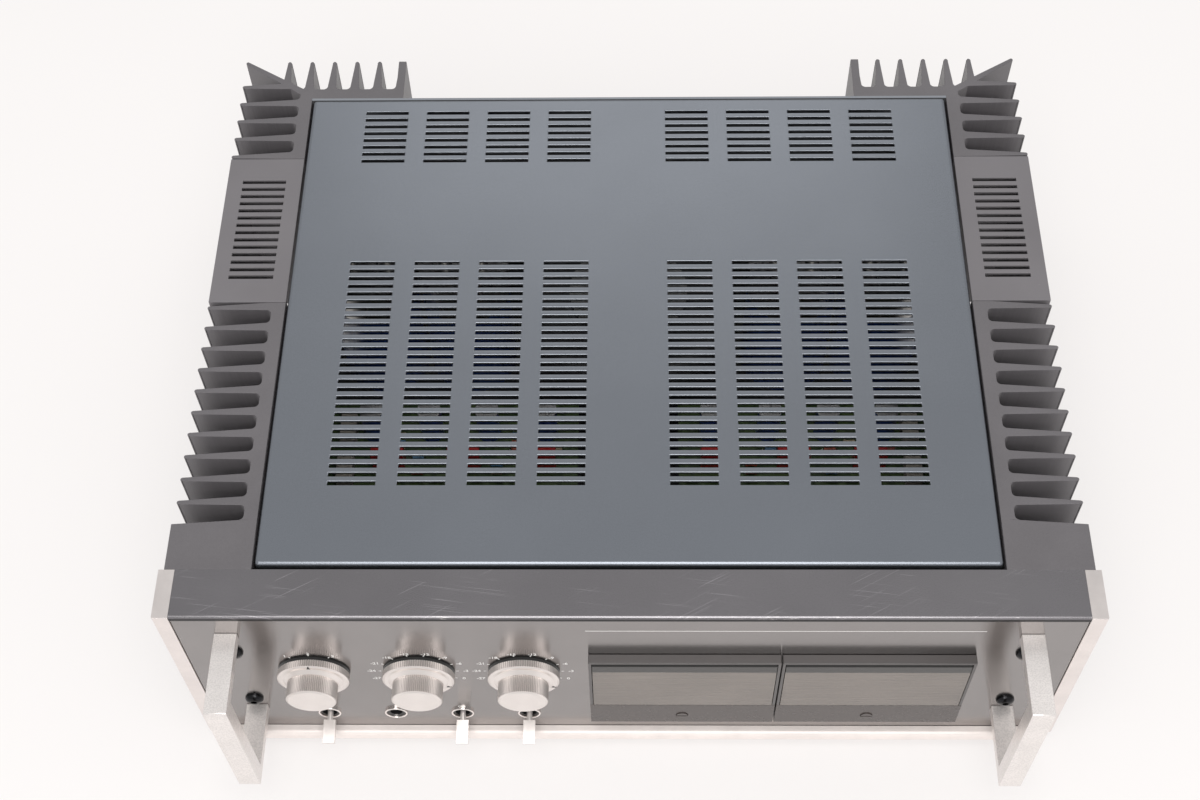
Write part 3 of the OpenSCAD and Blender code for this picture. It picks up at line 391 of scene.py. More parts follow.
@dataclass(frozen=True)
class Anodise(Finish):
    """Dark anodised extrusion with faint drawing lines."""

    along: Along = Along.Z
    pitch: float = 0.5
    length: float = 90.0
    line_share: float = 0.5
    line_height: float = 0.6
    grain: float = 0.25
    cloud_size: float = 40.0
    contrast: float = 0.12
    flake: float = 0.15

    def shade(self, graph: Graph) -> None:
        """Draws the anodise.

        Args:
            graph: The graph to draw into.
        """
        lines = graph.grain(self.along.stretched(self.pitch, self.length), 3.0, 0.6)
        clouded = graph.blend(lines, graph.grain(self.cloud_size, 3.0), self.line_share)
        colour = self.shades(graph, clouded, 1 - self.contrast, 1 + self.contrast, NARROW)
        height = graph.blend(lines, graph.grain(self.grain), self.line_height)
        graph.surface(Base_Color=colour, Metallic=self.flake, Roughness=self.rough(graph, lines),
                      Normal=graph.bump(height, self.depth))


@dataclass(frozen=True)
class BrushedMetal(Finish):
    """Metal with fine lines in one direction."""

    gloss: float = 0.3
    depth: float = 0.003
    along: Along = Along.X
    pitch: float = 0.12
    length: float = 18.0
    line_share: float = 0.6
    cloud_size: float = 25.0
    contrast: float = 0.06
    streak: float = 0.0
    streak_turn: float = 0.25

    def shade(self, graph: Graph) -> None:
        """Draws the metal and its lines.

        Args:
            graph: The graph to draw into.
        """
        lines = graph.grain(self.along.stretched(self.pitch, self.length), 3.0, 0.65)
        clouded = graph.blend(lines, graph.grain(self.cloud_size, 3.0), self.line_share)
        colour = self.shades(graph, clouded, 1 - self.contrast, 1 + self.contrast, NARROW)
        graph.surface(Base_Color=colour, Metallic=1.0, Anisotropic=self.streak,
                      Anisotropic_Rotation=self.streak_turn, Roughness=self.rough(graph, lines),
                      Normal=graph.bump(lines, self.depth))


@dataclass(frozen=True)
class BlastedMetal(Finish):
    """Bead-blasted or plated metal: fine even grain, with a few handling marks."""

    gloss: float = 0.32
    gloss_spread: float = 0.04
    grain: float = 0.16
    cloud: float = 0.04
    cloud_size: float = 14.0
    flake: float = 1.0
    sparkle: float = 0.0
    sparkle_span: Pair = (0.58, 0.4)
    sparkle_dark: float = 0.4
    mark: float = 2.5
    mark_span: Pair = (0.68, 0.74)
    mark_rough: float = 0.06

    def shade(self, graph: Graph) -> None:
        """Draws the metal and its grain.

        Args:
            graph: The graph to draw into.
        """
        grain = graph.grain(self.grain, 2.0, 0.6)
        clouds = graph.grain(self.cloud_size, 4.0, 0.6)
        even = self.shades(graph, clouds, 1 - self.cloud, 1 + self.cloud, NARROW)
        dots = graph.fit(grain, *self.sparkle_span, 0.0, self.sparkle)
        marks = graph.fit(graph.grain(self.mark, 3.0), *self.mark_span, 0.0, self.mark_rough)
        graph.surface(Base_Color=graph.mix(dots, even, scaled(self.colour, self.sparkle_dark)),
                      Metallic=self.flake, Roughness=graph.math("ADD", self.rough(graph, clouds), marks),
                      Normal=graph.bump(grain, self.depth))


@dataclass(frozen=True)
class TurnedMetal(Finish):
    """Metal turned on a lathe: fine rings round an axis along Y, and painted shade at the foot of the grooves
    on its knurled rims.
    """

    gloss: float = 0.35
    gloss_spread: float = 0.06
    depth: float = 0.004
    centre: Point = (0, 0, 0)
    flake: float = 0.75
    streak: float = 0.75
    pitch: float = 0.22
    drift: float = 3.0
    contrast: Pair = (0.93, 1.05)
    grip: tuple[float, int] = (12.65, 80)
    skirt: tuple[float, int] = (18.1, 96)
    groove: float = 0.4
    # How dark the painted shade at the foot of a knurl groove is.
    groove_shade_dark: float = 0.7

    def groove_shade(self, graph: Graph, spot: Socket, radius: Socket) -> Socket:
        """Draws where shade is painted, at the foot of the grooves of the two knurled rims.

        Args:
            graph: The graph to draw into.
            spot: The place about the axis in millimetres.
            radius: The distance from the axis in millimetres.

        Returns:
            A mask, 1 at the foot of a groove.
        """
        x, _, z = graph.add("SeparateXYZ", {0: spot}).outputs
        angle = graph.math("ARCTAN2", z, x)
        masks = []
        for rim, count in (self.grip, self.skirt):
            turn = graph.math("FRACT", graph.math("MULTIPLY", angle, count / (2 * math.pi)))
            foot = graph.fit(graph.math("ABSOLUTE", graph.math("SUBTRACT", turn, 0.5)), 0.5, 0.1)
            off = graph.math("ABSOLUTE", graph.math("SUBTRACT", radius, rim - self.groove / 2))
            masks.append(graph.math("MULTIPLY", foot, graph.math("LESS_THAN", off, 0.6 * self.groove)))
        return graph.math("MAXIMUM", *masks)

    def shade(self, graph: Graph) -> None:
        """Draws the metal and its rings.

        Args:
            graph: The graph to draw into.
        """
        spot = graph.place((MM,) * 3, self.centre)
        flat = graph.add("VectorMath", {0: spot, 1: (1, 0, 1)}, operation="MULTIPLY").outputs[0]
        radius = graph.add("VectorMath", {0: flat}, operation="LENGTH").outputs[1]
        turns = graph.math("ADD", graph.math("DIVIDE", radius, self.pitch), graph.grain(self.drift))
        inputs = {"W": turns, "Scale": 1.0, "Detail": 2.0}
        rings = graph.add("TexNoise", inputs, noise_dimensions="1D").outputs[0]
        turned = self.shades(graph, rings, *self.contrast)
        # Painted shade at the foot of the knurl's grooves.
        colour = graph.mix(self.groove_shade(graph, spot, radius), turned, scaled(self.colour, self.groove_shade_dark))
        tangent = graph.add("Tangent", direction_type="RADIAL", axis="Y").outputs[0]
        graph.surface(Base_Color=colour, Metallic=self.flake, Anisotropic=self.streak, Tangent=tangent,
                      Roughness=self.rough(graph, rings), Normal=graph.bump(rings, self.depth))


@dataclass(frozen=True)
class Moulding(Finish):
    """Moulded plastic with a fine spark-eroded texture."""

    gloss: float = 0.35
    grain: float = 0.3
    cloud: float = 0.12
    cloud_size: float = 9.0

    def shade(self, graph: Graph) -> None:
        """Draws the plastic.

        Args:
            graph: The graph to draw into.
        """
        clouds = graph.grain(self.cloud_size, 3.0)
        graph.surface(Base_Color=self.shades(graph, clouds, 1 - self.cloud, 1 + self.cloud),
                      Roughness=self.rough(graph, clouds),
                      Normal=graph.bump(graph.grain(self.grain, 2.0, 0.6), self.depth))


@dataclass(frozen=True)
class SmokedPane(Finish):
    """Smoked clear plastic with a drawn grain across it and painted shade in a strip along its top."""

    gloss: float = 0.13
    gloss_spread: float = 0.04
    depth: float = 0.001
    clear: float = 0.45
    index: float = 1.6
    line: Point = (30.0, 0.4, 0.4)
    line_share: float = 0.7
    cloud_size: float = 30.0
    contrast: Pair = (0.82, 1.16)
    top_z: float = 1.0
    shade_depth: float = 8.6
    shade_soft: float = 0.3
    shade_dark: float = 0.06

    def shade(self, graph: Graph) -> None:
        """Draws the pane.

        Args:
            graph: The graph to draw into.
        """
        lines = graph.grain(self.line, 3.0, 0.6)
        clouded = graph.blend(lines, graph.grain(self.cloud_size), self.line_share)
        grained = self.shades(graph, clouded, *self.contrast, NARROW)
        # Painted shade: a strip along the top of the pane is darkened.
        shade_z = self.top_z - self.shade_depth * MM
        shade_band = graph.fit(graph.axis(Along.Z), shade_z - self.shade_soft * MM, shade_z)
        colour = graph.mix(shade_band, grained, scaled(self.colour, self.shade_dark))
        graph.surface(Base_Color=colour, IOR=self.index, Transmission_Weight=self.clear,
                      Roughness=self.rough(graph, lines), Normal=graph.bump(lines, self.depth))


@dataclass(frozen=True)
class Felt(Finish):
    """Pressed felt or matt rubber."""

    gloss: float = 0.85
    gloss_spread: float = 0.1
    depth: float = 0.05
    fibre: float = 0.35
    contrast: Pair = (0.7, 1.4)
    sheen: float = 0.3
    sheen_gloss: float = 0.5

    def shade(self, graph: Graph) -> None:
        """Draws the fibres.

        Args:
            graph: The graph to draw into.
        """
        fibres = graph.grain(self.fibre, 4.0, 0.7)
        graph.surface(Base_Color=self.shades(graph, fibres, *self.contrast), Sheen_Weight=self.sheen,
                      Sheen_Roughness=self.sheen_gloss, Roughness=self.rough(graph, fibres),
                      Normal=graph.bump(fibres, self.depth))


@dataclass(frozen=True)
class CircuitBoard(Finish):
    """Circuit board with tracks under its lacquer."""

    gloss: float = 0.375
    gloss_spread: float = 0.075
    depth: float = 0.03
    grain: float = 0.6
    cell: float = 5.5
    track: Colour = (0.08, 0.13, 0.04)
    track_span: Pair = (0.48, 0.52)

    def shade(self, graph: Graph) -> None:
        """Draws the board and its tracks.

        Args:
            graph: The graph to draw into.
        """
        inputs = {"Vector": graph.place((self.cell * MM,) * 3), "Scale": 1.0}
        cells = graph.add("TexVoronoi", inputs, distance="MANHATTAN").outputs["Color"]
        tracks = graph.fit(graph.axis(Along.X, cells), *self.track_span)
        graph.surface(Base_Color=graph.mix(tracks, self.colour, self.track),
                      Roughness=self.rough(graph, graph.grain(self.grain)),
                      Normal=graph.bump(tracks, self.depth))


@dataclass(frozen=True)
class TapeWinding(Finish):
    """A ring core wound with overlapping tape, about an upright axis."""

    gloss: float = 0.36
    gloss_spread: float = 0.06
    depth: float = 0.35
    centre: Point = (0, 0, 0)
    turns: int = 46
    lap: float = 0.14
    lap_dark: float = 0.45
    grain: float = 1.2
    contrast: Pair = (0.85, 1.1)

    def shade(self, graph: Graph) -> None:
        """Draws the tape's overlaps.

        Args:
            graph: The graph to draw into.
        """
        spot = graph.place(origin=self.centre)
        share = graph.add("TexGradient", {"Vector": spot}, gradient_type="RADIAL").outputs[1]
        laps = graph.math("FRACT", graph.math("MULTIPLY", share, float(self.turns)))
        grain = graph.grain(self.grain, 3.0)
        tape = graph.mix(grain, *(scaled(self.colour, factor) for factor in self.contrast))
        colour = graph.mix(graph.fit(laps, 0.0, self.lap), scaled(self.colour, self.lap_dark), tape)
        graph.surface(Base_Color=colour, Roughness=self.rough(graph, grain),
                      Normal=graph.bump(laps, self.depth))


@dataclass(frozen=True)
class Sleeve(Finish):
    """Shrink sleeve on a can, with the bare top above a given height."""

    gloss: float = 0.325
    gloss_spread: float = 0.075
    depth: float = 0.08
    top: Colour = (0.55, 0.54, 0.52)
    top_z: float = 1.0
    top_edge: Pair = (0.4, 0.2)
    wrinkle: Point = (3.0, 3.0, 12.0)
    contrast: Pair = (0.8, 1.2)

    def shade(self, graph: Graph) -> None:
        """Draws the sleeve, its wrinkles and the bare top.

        Args:
            graph: The graph to draw into.
        """
        bare = graph.fit(graph.axis(Along.Z), *(self.top_z - below * MM for below in self.top_edge))
        wrinkles = graph.grain(self.wrinkle)
        sleeve = self.shades(graph, wrinkles, *self.contrast)
        graph.surface(Base_Color=graph.mix(bare, sleeve, self.top), Metallic=bare,
                      Roughness=self.rough(graph, wrinkles), Normal=graph.bump(wrinkles, self.depth))


@dataclass(frozen=True)
class Ink(Finish):
    """Screen-printed ink, a little uneven."""

    gloss: float = 0.5
    gloss_spread: float = 0.1
    depth: float = 0.003
    grain: float = 0.2
    contrast: Pair = (0.85, 1.0)

    def shade(self, graph: Graph) -> None:
        """Draws the ink.

        Args:
            graph: The graph to draw into.
        """
        grain = graph.grain(self.grain)
        graph.surface(Base_Color=self.shades(graph, grain, *self.contrast),
                      Roughness=self.rough(graph, grain), Normal=graph.bump(grain, self.depth))


SILVER = (0.85, 0.79, 0.765)
NICKEL = (0.92, 0.865, 0.835)
TURNED = (0.84, 0.785, 0.755)
WHITE_INK = Ink("white_ink", (0.86, 0.85, 0.83))
DARK_INK = Ink("dark_ink", (0.02, 0.02, 0.022))
BRIGHT = BlastedMetal("bright_metal", NICKEL, gloss=0.14, grain=0.5, depth=0.002)
LEVER = BlastedMetal("lever_metal", (0.76, 0.715, 0.69), gloss=0.3, grain=0.4, depth=0.002, flake=0.6)
HANDLE = BlastedMetal("handle_silver", (0.87, 0.825, 0.80), grain=0.8, depth=0.02, sparkle=0.22, flake=0.6)
BRASS = BlastedMetal("brass", (0.72, 0.55, 0.28), gloss=0.22, grain=0.4, depth=0.003)
SCREW_STEEL = BlastedMetal("screw_steel", (0.10, 0.10, 0.11), gloss=0.3, grain=0.3, depth=0.004)
ZERO_SCREW = Moulding("screw_plastic", (0.075, 0.062, 0.058), gloss=0.3)
INSULATORS = (Moulding("insulator_red", (0.45, 0.02, 0.016)), Moulding("insulator_white", (0.75, 0.74, 0.71)))


@dataclass
class Finishes:
    """Which finish each material slot of the record gets."""

    rail_front: float
    rail_top: float
    rear_top: float
    core: Point
    can_top: float
    window_top: float

    def by_slot(self) -> dict[str, Finish]:
        """Gives the finish of each slot.

        Returns:
            The finishes by the slots' names.
        """
        return {
            "plated_steel": BlastedMetal("plated_steel", (0.13, 0.13, 0.128), gloss=0.45, grain=0.8,
                                         cloud=0.12),
            "cover_paint": Paint("cover_paint", (0.230, 0.247, 0.276), gloss=0.29, flake=0.9, cloud=0.02,
                                 peel=0.25, depth=0.0012),
            # The rail's paint gets painted shade on the lip under its front edge.
            "rail_paint": WornPaint("rail_paint", (0.235, 0.225, 0.236), gloss=0.3, front=self.rail_front,
                                    flake=0.95, lip_shade_top=self.rail_top - 1.0 * MM, peel=0.3, depth=0.002),
            "rear_paint": EdgedPaint("rear_paint", (0.10, 0.10, 0.105), gloss=0.5, peel=0.8, depth=0.01,
                                     edge=(0.22, 0.235, 0.26), edge_z=self.rear_top),
            "sink_anodise": Anodise("sink_anodise", (0.138, 0.130, 0.137)),
            "vent_paint": Paint("vent_paint", (0.180, 0.170, 0.179), flake=0.2),
            "satin_silver": BlastedMetal("satin_silver", SILVER),
            "panel_anodise": BrushedMetal("panel_anodise", (0.300, 0.284, 0.279), gloss=0.19, streak=0.5),
            "bright_metal": BRIGHT,
            "black_steel": BlastedMetal("black_steel", (0.03, 0.03, 0.032), gloss=0.2, grain=0.4,
                                        depth=0.003),
            "control_metal": BlastedMetal("control_metal", (0.28, 0.275, 0.26), gloss=0.4, grain=0.6,
                                          cloud=0.1),
            "foot_rubber": Felt("foot_rubber", (0.022, 0.022, 0.023), fibre=0.8, depth=0.02, sheen=0.0),
            "felt": Felt("felt", (0.012, 0.012, 0.012)),
            "black_plastic": Moulding("black_plastic", (0.018, 0.018, 0.019)),
            "red_plastic": Moulding("red_plastic", (0.42, 0.018, 0.014), gloss=0.3),
            "apron_plastic": Moulding("apron_plastic", (0.065, 0.052, 0.048), gloss=0.25, depth=0.002,
                                      cloud=0.05),
            "window_clear": SmokedPane("window_clear", (0.285, 0.244, 0.214), top_z=self.window_top),
            "scale_card": Moulding("scale_card", (0.05, 0.047, 0.045), gloss=0.6),
            "needle_paint": Ink("needle_paint", (0.80, 0.78, 0.72)),
            "movement_iron": BlastedMetal("movement_iron", (0.35, 0.34, 0.33), gloss=0.4),
            "winding": TapeWinding("winding", (0.045, 0.045, 0.05), centre=self.core),
            "can_sleeve": Sleeve("can_sleeve", (0.02, 0.06, 0.26), top_z=self.can_top),
            "film_red": Moulding("film_red", (0.55, 0.025, 0.02), gloss=0.25),
            "cement": Felt("cement", (0.46, 0.43, 0.37), fibre=0.5, depth=0.03, sheen=0.0),
            "board_resin": CircuitBoard("board_resin", (0.045, 0.08, 0.025)),
            "relay_amber": Moulding("relay_amber", (0.60, 0.38, 0.06), gloss=0.15),
        }


def mesh_piece(name: str, mesh: Mesh, finishes: Iterable[Finish], body: str = CHASSIS,
               angle: float = 0.0) -> Piece:
    """Turns a mesh into a piece of the object.

    Args:
        name: The piece's name.
        mesh: Its shape, which is freed.
        finishes: Its finishes, in the order of the faces' material numbers.
        body: The body that it rides on.
        angle: Up to which angle in degrees its edges are shaded smooth, or 0 for none.

    Returns:
        The piece.
    """
    data = bpy.data.meshes.new(name)
    bmesh.ops.recalc_face_normals(mesh, faces=mesh.faces)
    mesh.to_mesh(data)
    mesh.free()
    for finish in finishes:
        data.materials.append(finish.material())
    piece = bpy.data.objects.new(name, data)
    bpy.context.scene.collection.objects.link(piece)
    if angle:
        data.shade_smooth()
        data.set_sharp_from_angle(angle=math.radians(angle))
        piece.modifiers.new("flat_faces", "WEIGHTED_NORMAL").keep_sharp = True
    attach(piece, body)
    LOG.info("%s: %d faces, rides on %s", name, len(data.polygons), body)
    return piece


def ring(mesh: Mesh, points: Iterable[Vector]) -> list[Vert]:
    """Adds a row of points to a mesh."""
    return [mesh.verts.new(point) for point in points]


def bridge(mesh: Mesh, first: list[Vert], second: list[Vert], number: int = 0) -> None:
    """Joins two closed rings of equal length with faces.

    Args:
        mesh: The mesh that holds them.
        first, second: The rings.
        number: The material number of the faces.
    """
    for i in range(len(first)):
        j = (i + 1) % len(first)
        mesh.faces.new((first[i], first[j], second[j], second[i])).material_index = number


def loft(mesh: Mesh, rows: Iterable[Iterable[Vector]], spot: Matrix, number: int = 0,
         closed: bool = True) -> None:
    """Joins closed outlines into a solid.

    Args:
        mesh: The mesh to add to.
        rows: The outlines in millimetres, with equally many points each.
        spot: The frame that they lie in.
        number: The material number of the faces.
        closed: Whether the first and last outline get a face.
    """
    rings = [ring(mesh, [spot @ (point * MM) for point in row]) for row in rows]
    for first, second in zip(rings, rings[1:]):
        bridge(mesh, first, second, number)
    if closed:
        for end in (rings[0], rings[-1]):
            mesh.faces.new(end).material_index = number


def circle(radius: float, height: float, steps: int = 24) -> list[Vector]:
    """Gives points round a circle about Z, at a height along it."""
    angles = [2 * math.pi * i / steps for i in range(steps)]
    return [Vector((radius * math.cos(a), radius * math.sin(a), height)) for a in angles]


def facing(point: Point | Vector, turn: float = 0.0, to_rear: bool = False) -> Matrix:
    """Gives a frame at a point whose Z points out of the front or the rear.

    Args:
        point: The frame's origin.
        turn: A turn about its Z in radians.
        to_rear: Whether Z points along +Y, and not along -Y.

    Returns:
        The frame.
    """
    upright = Matrix.Rotation(math.pi, 4, "Z") if to_rear else Matrix.Identity(4)
    outward = Matrix.Rotation(math.pi / 2, 4, "X")
    return Matrix.Translation(point) @ upright @ outward @ Matrix.Rotation(turn, 4, "Z")


def middle(node: str) -> Vector:
    """Gives the middle of a node's box, in metres."""
    low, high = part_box(node)
    return (low + high) / 2


@lru_cache(maxsize=None)
def node_boxes(node: str) -> list[tuple[Vector, Vector]]:
    """Gives the box of each separate solid of a node, from left to right.

    Args:
        node: The node's name.

    Returns:
        The lowest and highest corner of each solid, in metres.
    """
    mesh = bmesh.new()
    mesh.from_mesh(frame["nodes"][node].data)
    bmesh.ops.remove_doubles(mesh, verts=mesh.verts, dist=2 * MERGE)
    left = set(mesh.verts)
    boxes = []
    while left:
        edge_of_search = [left.pop()]
        found = list(edge_of_search)
        while edge_of_search:
            vert = edge_of_search.pop()
            for edge in vert.link_edges:
                other = edge.other_vert(vert)
                if other in left:
                    left.remove(other)
                    edge_of_search.append(other)
                    found.append(other)
        places = [vert.co for vert in found]
        boxes.append(tuple(Vector(pick(p[i] for p in places) for i in range(3)) for pick in (min, max)))
    mesh.free()
    return sorted(boxes, key=lambda box: tuple(box[0]))


@dataclass
class CadDressing:
    """Gives each node of the frame its finish, and its sharp edges a small round."""

    finishes: Finishes
    segments: int = 2
    flat_angle: float = 0.5
    sharp_angle: float = 40.0
    own: dict[str, Finish] = field(default_factory=lambda: {
        "bottom_rail": BlastedMetal("rail_silver", (0.92, 0.85, 0.815), gloss=0.5, flake=0.3),
        "meter_cases": Moulding("case_plastic", (0.072, 0.065, 0.064), gloss=0.2, depth=0.001, cloud=0.04),
        **{f"{side}_zero_screw": ZERO_SCREW for side in SIDES},
        **{f"handle_{side}": HANDLE for side in SIDES},
        **{f"{name}_lever": LEVER for name in TOGGLES}})

    def boxy_nodes(self) -> dict[str, float]:
        """Gives the nodes whose edges are broken, with the width in millimetres.

        Returns:
            The widths by the nodes' names.
        """
        sinks = [f"{end}_heatsink_{side}" for end in ("front", "rear") for side in SIDES]
        groups = {
            0.25: (*sinks, "side_trims", "side_vents"),
            0.3: ("meter_aprons", "meter_windows"),
            0.35: [f"handle_{side}" for side in SIDES],
            0.4: ("film_capacitors", "cement_resistors", "relays", "rectifiers"),
            0.45: ("meter_cases",),
        }
        return {name: width for width, names in groups.items() for name in names}

    def finish_of(self, node: str, slot: str) -> Finish:
        """Picks a node's finish.

        Args:
            node: The node's name.
            slot: Its material slot in the record.

        Returns:
            The finish.
        """
        if slot == "turned_silver":
            return TurnedMetal(f"turned_{node}", TURNED, centre=tuple(middle(node)))
        return self.own.get(node) or self.finishes.by_slot()[slot]

    def soften(self, piece: Piece, width: float) -> None:
        """Breaks a node's sharp edges.

        Args:
            piece: The node's object.
            width: The width of the round in millimetres.
        """
        piece.modifiers.new("weld", "WELD").merge_threshold = 2 * MERGE
        flat = piece.modifiers.new("flat", "DECIMATE")
        flat.decimate_type = "DISSOLVE"
        flat.angle_limit = math.radians(self.flat_angle)
        bevel = piece.modifiers.new("edges", "BEVEL")
        bevel.width = width * MM
        bevel.segments = self.segments
        bevel.limit_method = "ANGLE"
        bevel.angle_limit = math.radians(self.sharp_angle)
        bevel.use_clamp_overlap = False
        bevel.harden_normals = True

    def build(self) -> None:
        """Dresses every node."""
        slots = {part["node"]: part["material_slot"] for part in frame["record"]["subparts"]}
        widths = self.boxy_nodes()
        for node, piece in frame["nodes"].items():
            finish = self.finish_of(node, slots[node])
            piece.data.materials.clear()
            piece.data.materials.append(finish.material())
            if node in widths:
                self.soften(piece, widths[node])
            LOG.info("%s: %s", node, finish.name)


@dataclass
class TopCover:
    """Folded sheet cover with groups of punched slots whose edges are drawn in by the punch."""

    finish: Finish
    sheet: float = 1.5
    fold: float = 2.2
    slot: Pair = (24.0, 2.3)
    row_pitch: float = 5.04
    column_pitch: float = 34.6
    columns: int = 4
    side_edge: float = 31.2
    front_rows: int = 28
    front_edge: float = 45.3
    rear_rows: int = 8
    rear_edge: float = 10.2
    draw: tuple[Pair, ...] = ((0.0, 0.22), (0.12, 0.09), (0.4, 0.0))
    fold_steps: int = 6
    smooth_angle: float = 40.0

    def columns_at(self, half: float) -> list[Pair]:
        """Gives where the slots begin and end across the cover.

        Args:
            half: Half of the cover's width in millimetres.

        Returns:
            The two ends of each column, from left to right.
        """
        first = half - self.side_edge - self.slot[0] / 2
        middles = [side * (first - i * self.column_pitch) for side in (-1, 1) for i in range(self.columns)]
        return [(x - self.slot[0] / 2, x + self.slot[0] / 2) for x in sorted(middles)]

    def rows_at(self, low: float, high: float) -> list[Pair]:
        """Gives where the slots begin and end from front to rear.

        Args:
            low, high: The cover's front and rear edge in millimetres.

        Returns:
            The two ends of each row, from the front.
        """
        front = [low + self.front_edge + i * self.row_pitch for i in range(self.front_rows)]
        rear = [high - self.rear_edge - i * self.row_pitch for i in reversed(range(self.rear_rows))]
        return [(y - self.slot[1] / 2, y + self.slot[1] / 2) for y in front + rear]

    def lines(self, low: float, high: float, slots: list[Pair]) -> list[tuple[float, ...]]:
        """Lays out the grid lines in one direction.

        Args:
            low, high: The cover's two edges.
            slots: Where slots begin and end between them.

        Returns:
            For each line its place on the outside and on the inside, and how deep a slot's edge is
            drawn in there.
        """
        inner = self.fold - self.sheet
        angles = [math.pi / 2 * i / self.fold_steps for i in range(self.fold_steps + 1)]
        near = [(low + self.fold - self.fold * math.sin(a), low + self.fold - inner * math.sin(a), 0.0)
                for a in reversed(angles)]
        far = [(low + high - place, low + high - inside, 0.0) for place, inside, _ in reversed(near)]
        between = []
        for start, end in slots:
            between += [(start - away, start - away, depth) for away, depth in reversed(self.draw)]
            between += [(end + away, end + away, depth) for away, depth in self.draw]
        return near + between + far

    def rounded(self, x: float, y: float, low: Vector, high: Vector, radius: float) -> Vector:
        """Puts a point of the flat grid onto the cover, round the folds and the corners.

        Args:
            x, y: The point's place in millimetres.
            low, high: The cover's box in millimetres.
            radius: The folds' radius on that side of the sheet, in millimetres.

        Returns:
            The point.
        """
        out = Vector((max(x - high.x + self.fold, 0) - max(low.x + self.fold - x, 0),
                      max(y - high.y + self.fold, 0) - max(low.y + self.fold - y, 0)))
        share = [min(1.0, abs(part) / radius) for part in out]
        pulled = Vector((out.x * math.sqrt(1 - share[1] ** 2 / 2), out.y * math.sqrt(1 - share[0] ** 2 / 2)))
        drop = self.fold - math.sqrt(max(0.0, radius ** 2 - pulled.length_squared))
        return Vector((x - out.x + pulled.x, y - out.y + pulled.y, high.z - drop))

    def build(self) -> Piece:
        """Makes the cover.

        Returns:
            The cover, which stands for its node.
        """
        low, high = (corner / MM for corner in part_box("top_cover"))
        xs = self.lines(low.x, high.x, self.columns_at(high.x))
        ys = self.lines(low.y, high.y, self.rows_at(low.y, high.y))
        mesh = bmesh.new()
        outer: Grid = {}
        inner: Grid = {}
        for i, (x, x_in, x_deep) in enumerate(xs):
            for j, (y, y_in, y_deep) in enumerate(ys):
                sunk = Vector((0, 0, min(x_deep, y_deep)))
                outer[i, j] = mesh.verts.new((self.rounded(x, y, low, high, self.fold) - sunk) * MM)
                inner[i, j] = mesh.verts.new(self.rounded(x_in, y_in, low, high, self.fold - self.sheet) * MM)
        for i in range(len(xs) - 1):
            for j in range(len(ys) - 1):
                corners = [(i, j), (i + 1, j), (i + 1, j + 1), (i, j + 1)]
                if self.opens(i, len(xs)) and self.opens(j, len(ys)):
                    for a, b in zip(corners, corners[1:] + corners[:1]):
                        mesh.faces.new((outer[a], outer[b], inner[b], inner[a]))
                else:
                    mesh.faces.new([outer[c] for c in corners])
                    mesh.faces.new([inner[c] for c in reversed(corners)])
        self.walls(mesh, outer, inner, len(xs) - 1, len(ys) - 1, low.z * MM)
        bmesh.ops.remove_doubles(mesh, verts=mesh.verts, dist=MERGE)
        cover = mesh_piece("slotted_cover", mesh, [self.finish], angle=self.smooth_angle)
        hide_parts("top_cover")
        return cover

    def opens(self, number: int, count: int) -> bool:
        """Tells whether a slot lies behind a grid line.

        Args:
            number: The line's number.
            count: How many lines there are in that direction.

        Returns:
            Whether the line is the near edge of a slot.
        """
        first = self.fold_steps + 1
        at_edge = (number - first) % (2 * len(self.draw)) == len(self.draw) - 1
        return at_edge and first <= number < count - first

    def walls(self, mesh: Mesh, outer: Grid, inner: Grid, last_x: int, last_y: int, foot: float) -> None:
        """Drops the four folded walls from the edge of the grid.

        Args:
            mesh: The mesh to add to.
            outer, inner: The grid's points outside and inside.
            last_x, last_y: The numbers of the grid's last lines.
            foot: The height of the walls' lower edge in metres.
        """
        round_trip = [(i, 0) for i in range(last_x)] + [(last_x, j) for j in range(last_y)]
        round_trip += [(i, last_y) for i in range(last_x, 0, -1)] + [(0, j) for j in range(last_y, 0, -1)]
        feet = []
        for side in (outer, inner):
            top = [side[key] for key in round_trip]
            bottom = ring(mesh, [Vector((vert.co.x, vert.co.y, foot)) for vert in top])
            bridge(mesh, top, bottom)
            feet.append(bottom)
        bridge(mesh, *feet)


@dataclass
class Lettering:
    """Makes printed numbers, words and strokes as thin flat meshes on a face that looks to the front."""

    thick: float = 0.03
    bold: float = 0.035
    capital: float = 0.7
    curve_steps: int = 3

    def text(self, mesh: Mesh, words: str, spot: Matrix, height: float) -> None:
        """Prints words, centred on a frame.

        Args:
            mesh: The mesh to add to.
            words: What is printed.
            spot: The frame of the print.
            height: The height of a capital in millimetres.
        """
        curve = bpy.data.curves.new("print", "FONT")
        curve.body = words
        curve.align_x = "CENTER"
        curve.align_y = "CENTER"
        curve.size = height / self.capital * MM
        curve.offset = self.bold * height * MM
        curve.extrude = self.thick / 2 * MM
        curve.resolution_u = self.curve_steps
        holder = bpy.data.objects.new("print", curve)
        bpy.context.scene.collection.objects.link(holder)
        bpy.context.view_layer.update()
        shape = bpy.data.meshes.new_from_object(holder.evaluated_get(bpy.context.evaluated_depsgraph_get()))
        shape.transform(spot)
        mesh.from_mesh(shape)
        bpy.data.objects.remove(holder)
        bpy.data.curves.remove(curve)
        bpy.data.meshes.remove(shape)

    def stroke(self, mesh: Mesh, spot: Matrix, points: Sequence[Pair], width: float) -> None:
        """Prints a line of even width through points.

        Args:
            mesh: The mesh to add to.
            spot: The frame of the print.
            points: The line's points in millimetres.
            width: Its width in millimetres.
        """
        flat = [Vector(p) for p in points]
        rows = []
        for i, point in enumerate(flat):
            along = (flat[min(i + 1, len(flat) - 1)] - flat[max(i - 1, 0)]).normalized()
            normal = Vector((-along.y, along.x)) * width / 2
            left, right = point + normal, point - normal
            corners = ((left, 0), (left, self.thick), (right, self.thick), (right, 0))
            rows.append([Vector((p.x, p.y, z)) for p, z in corners])
        loft(mesh, rows, spot)


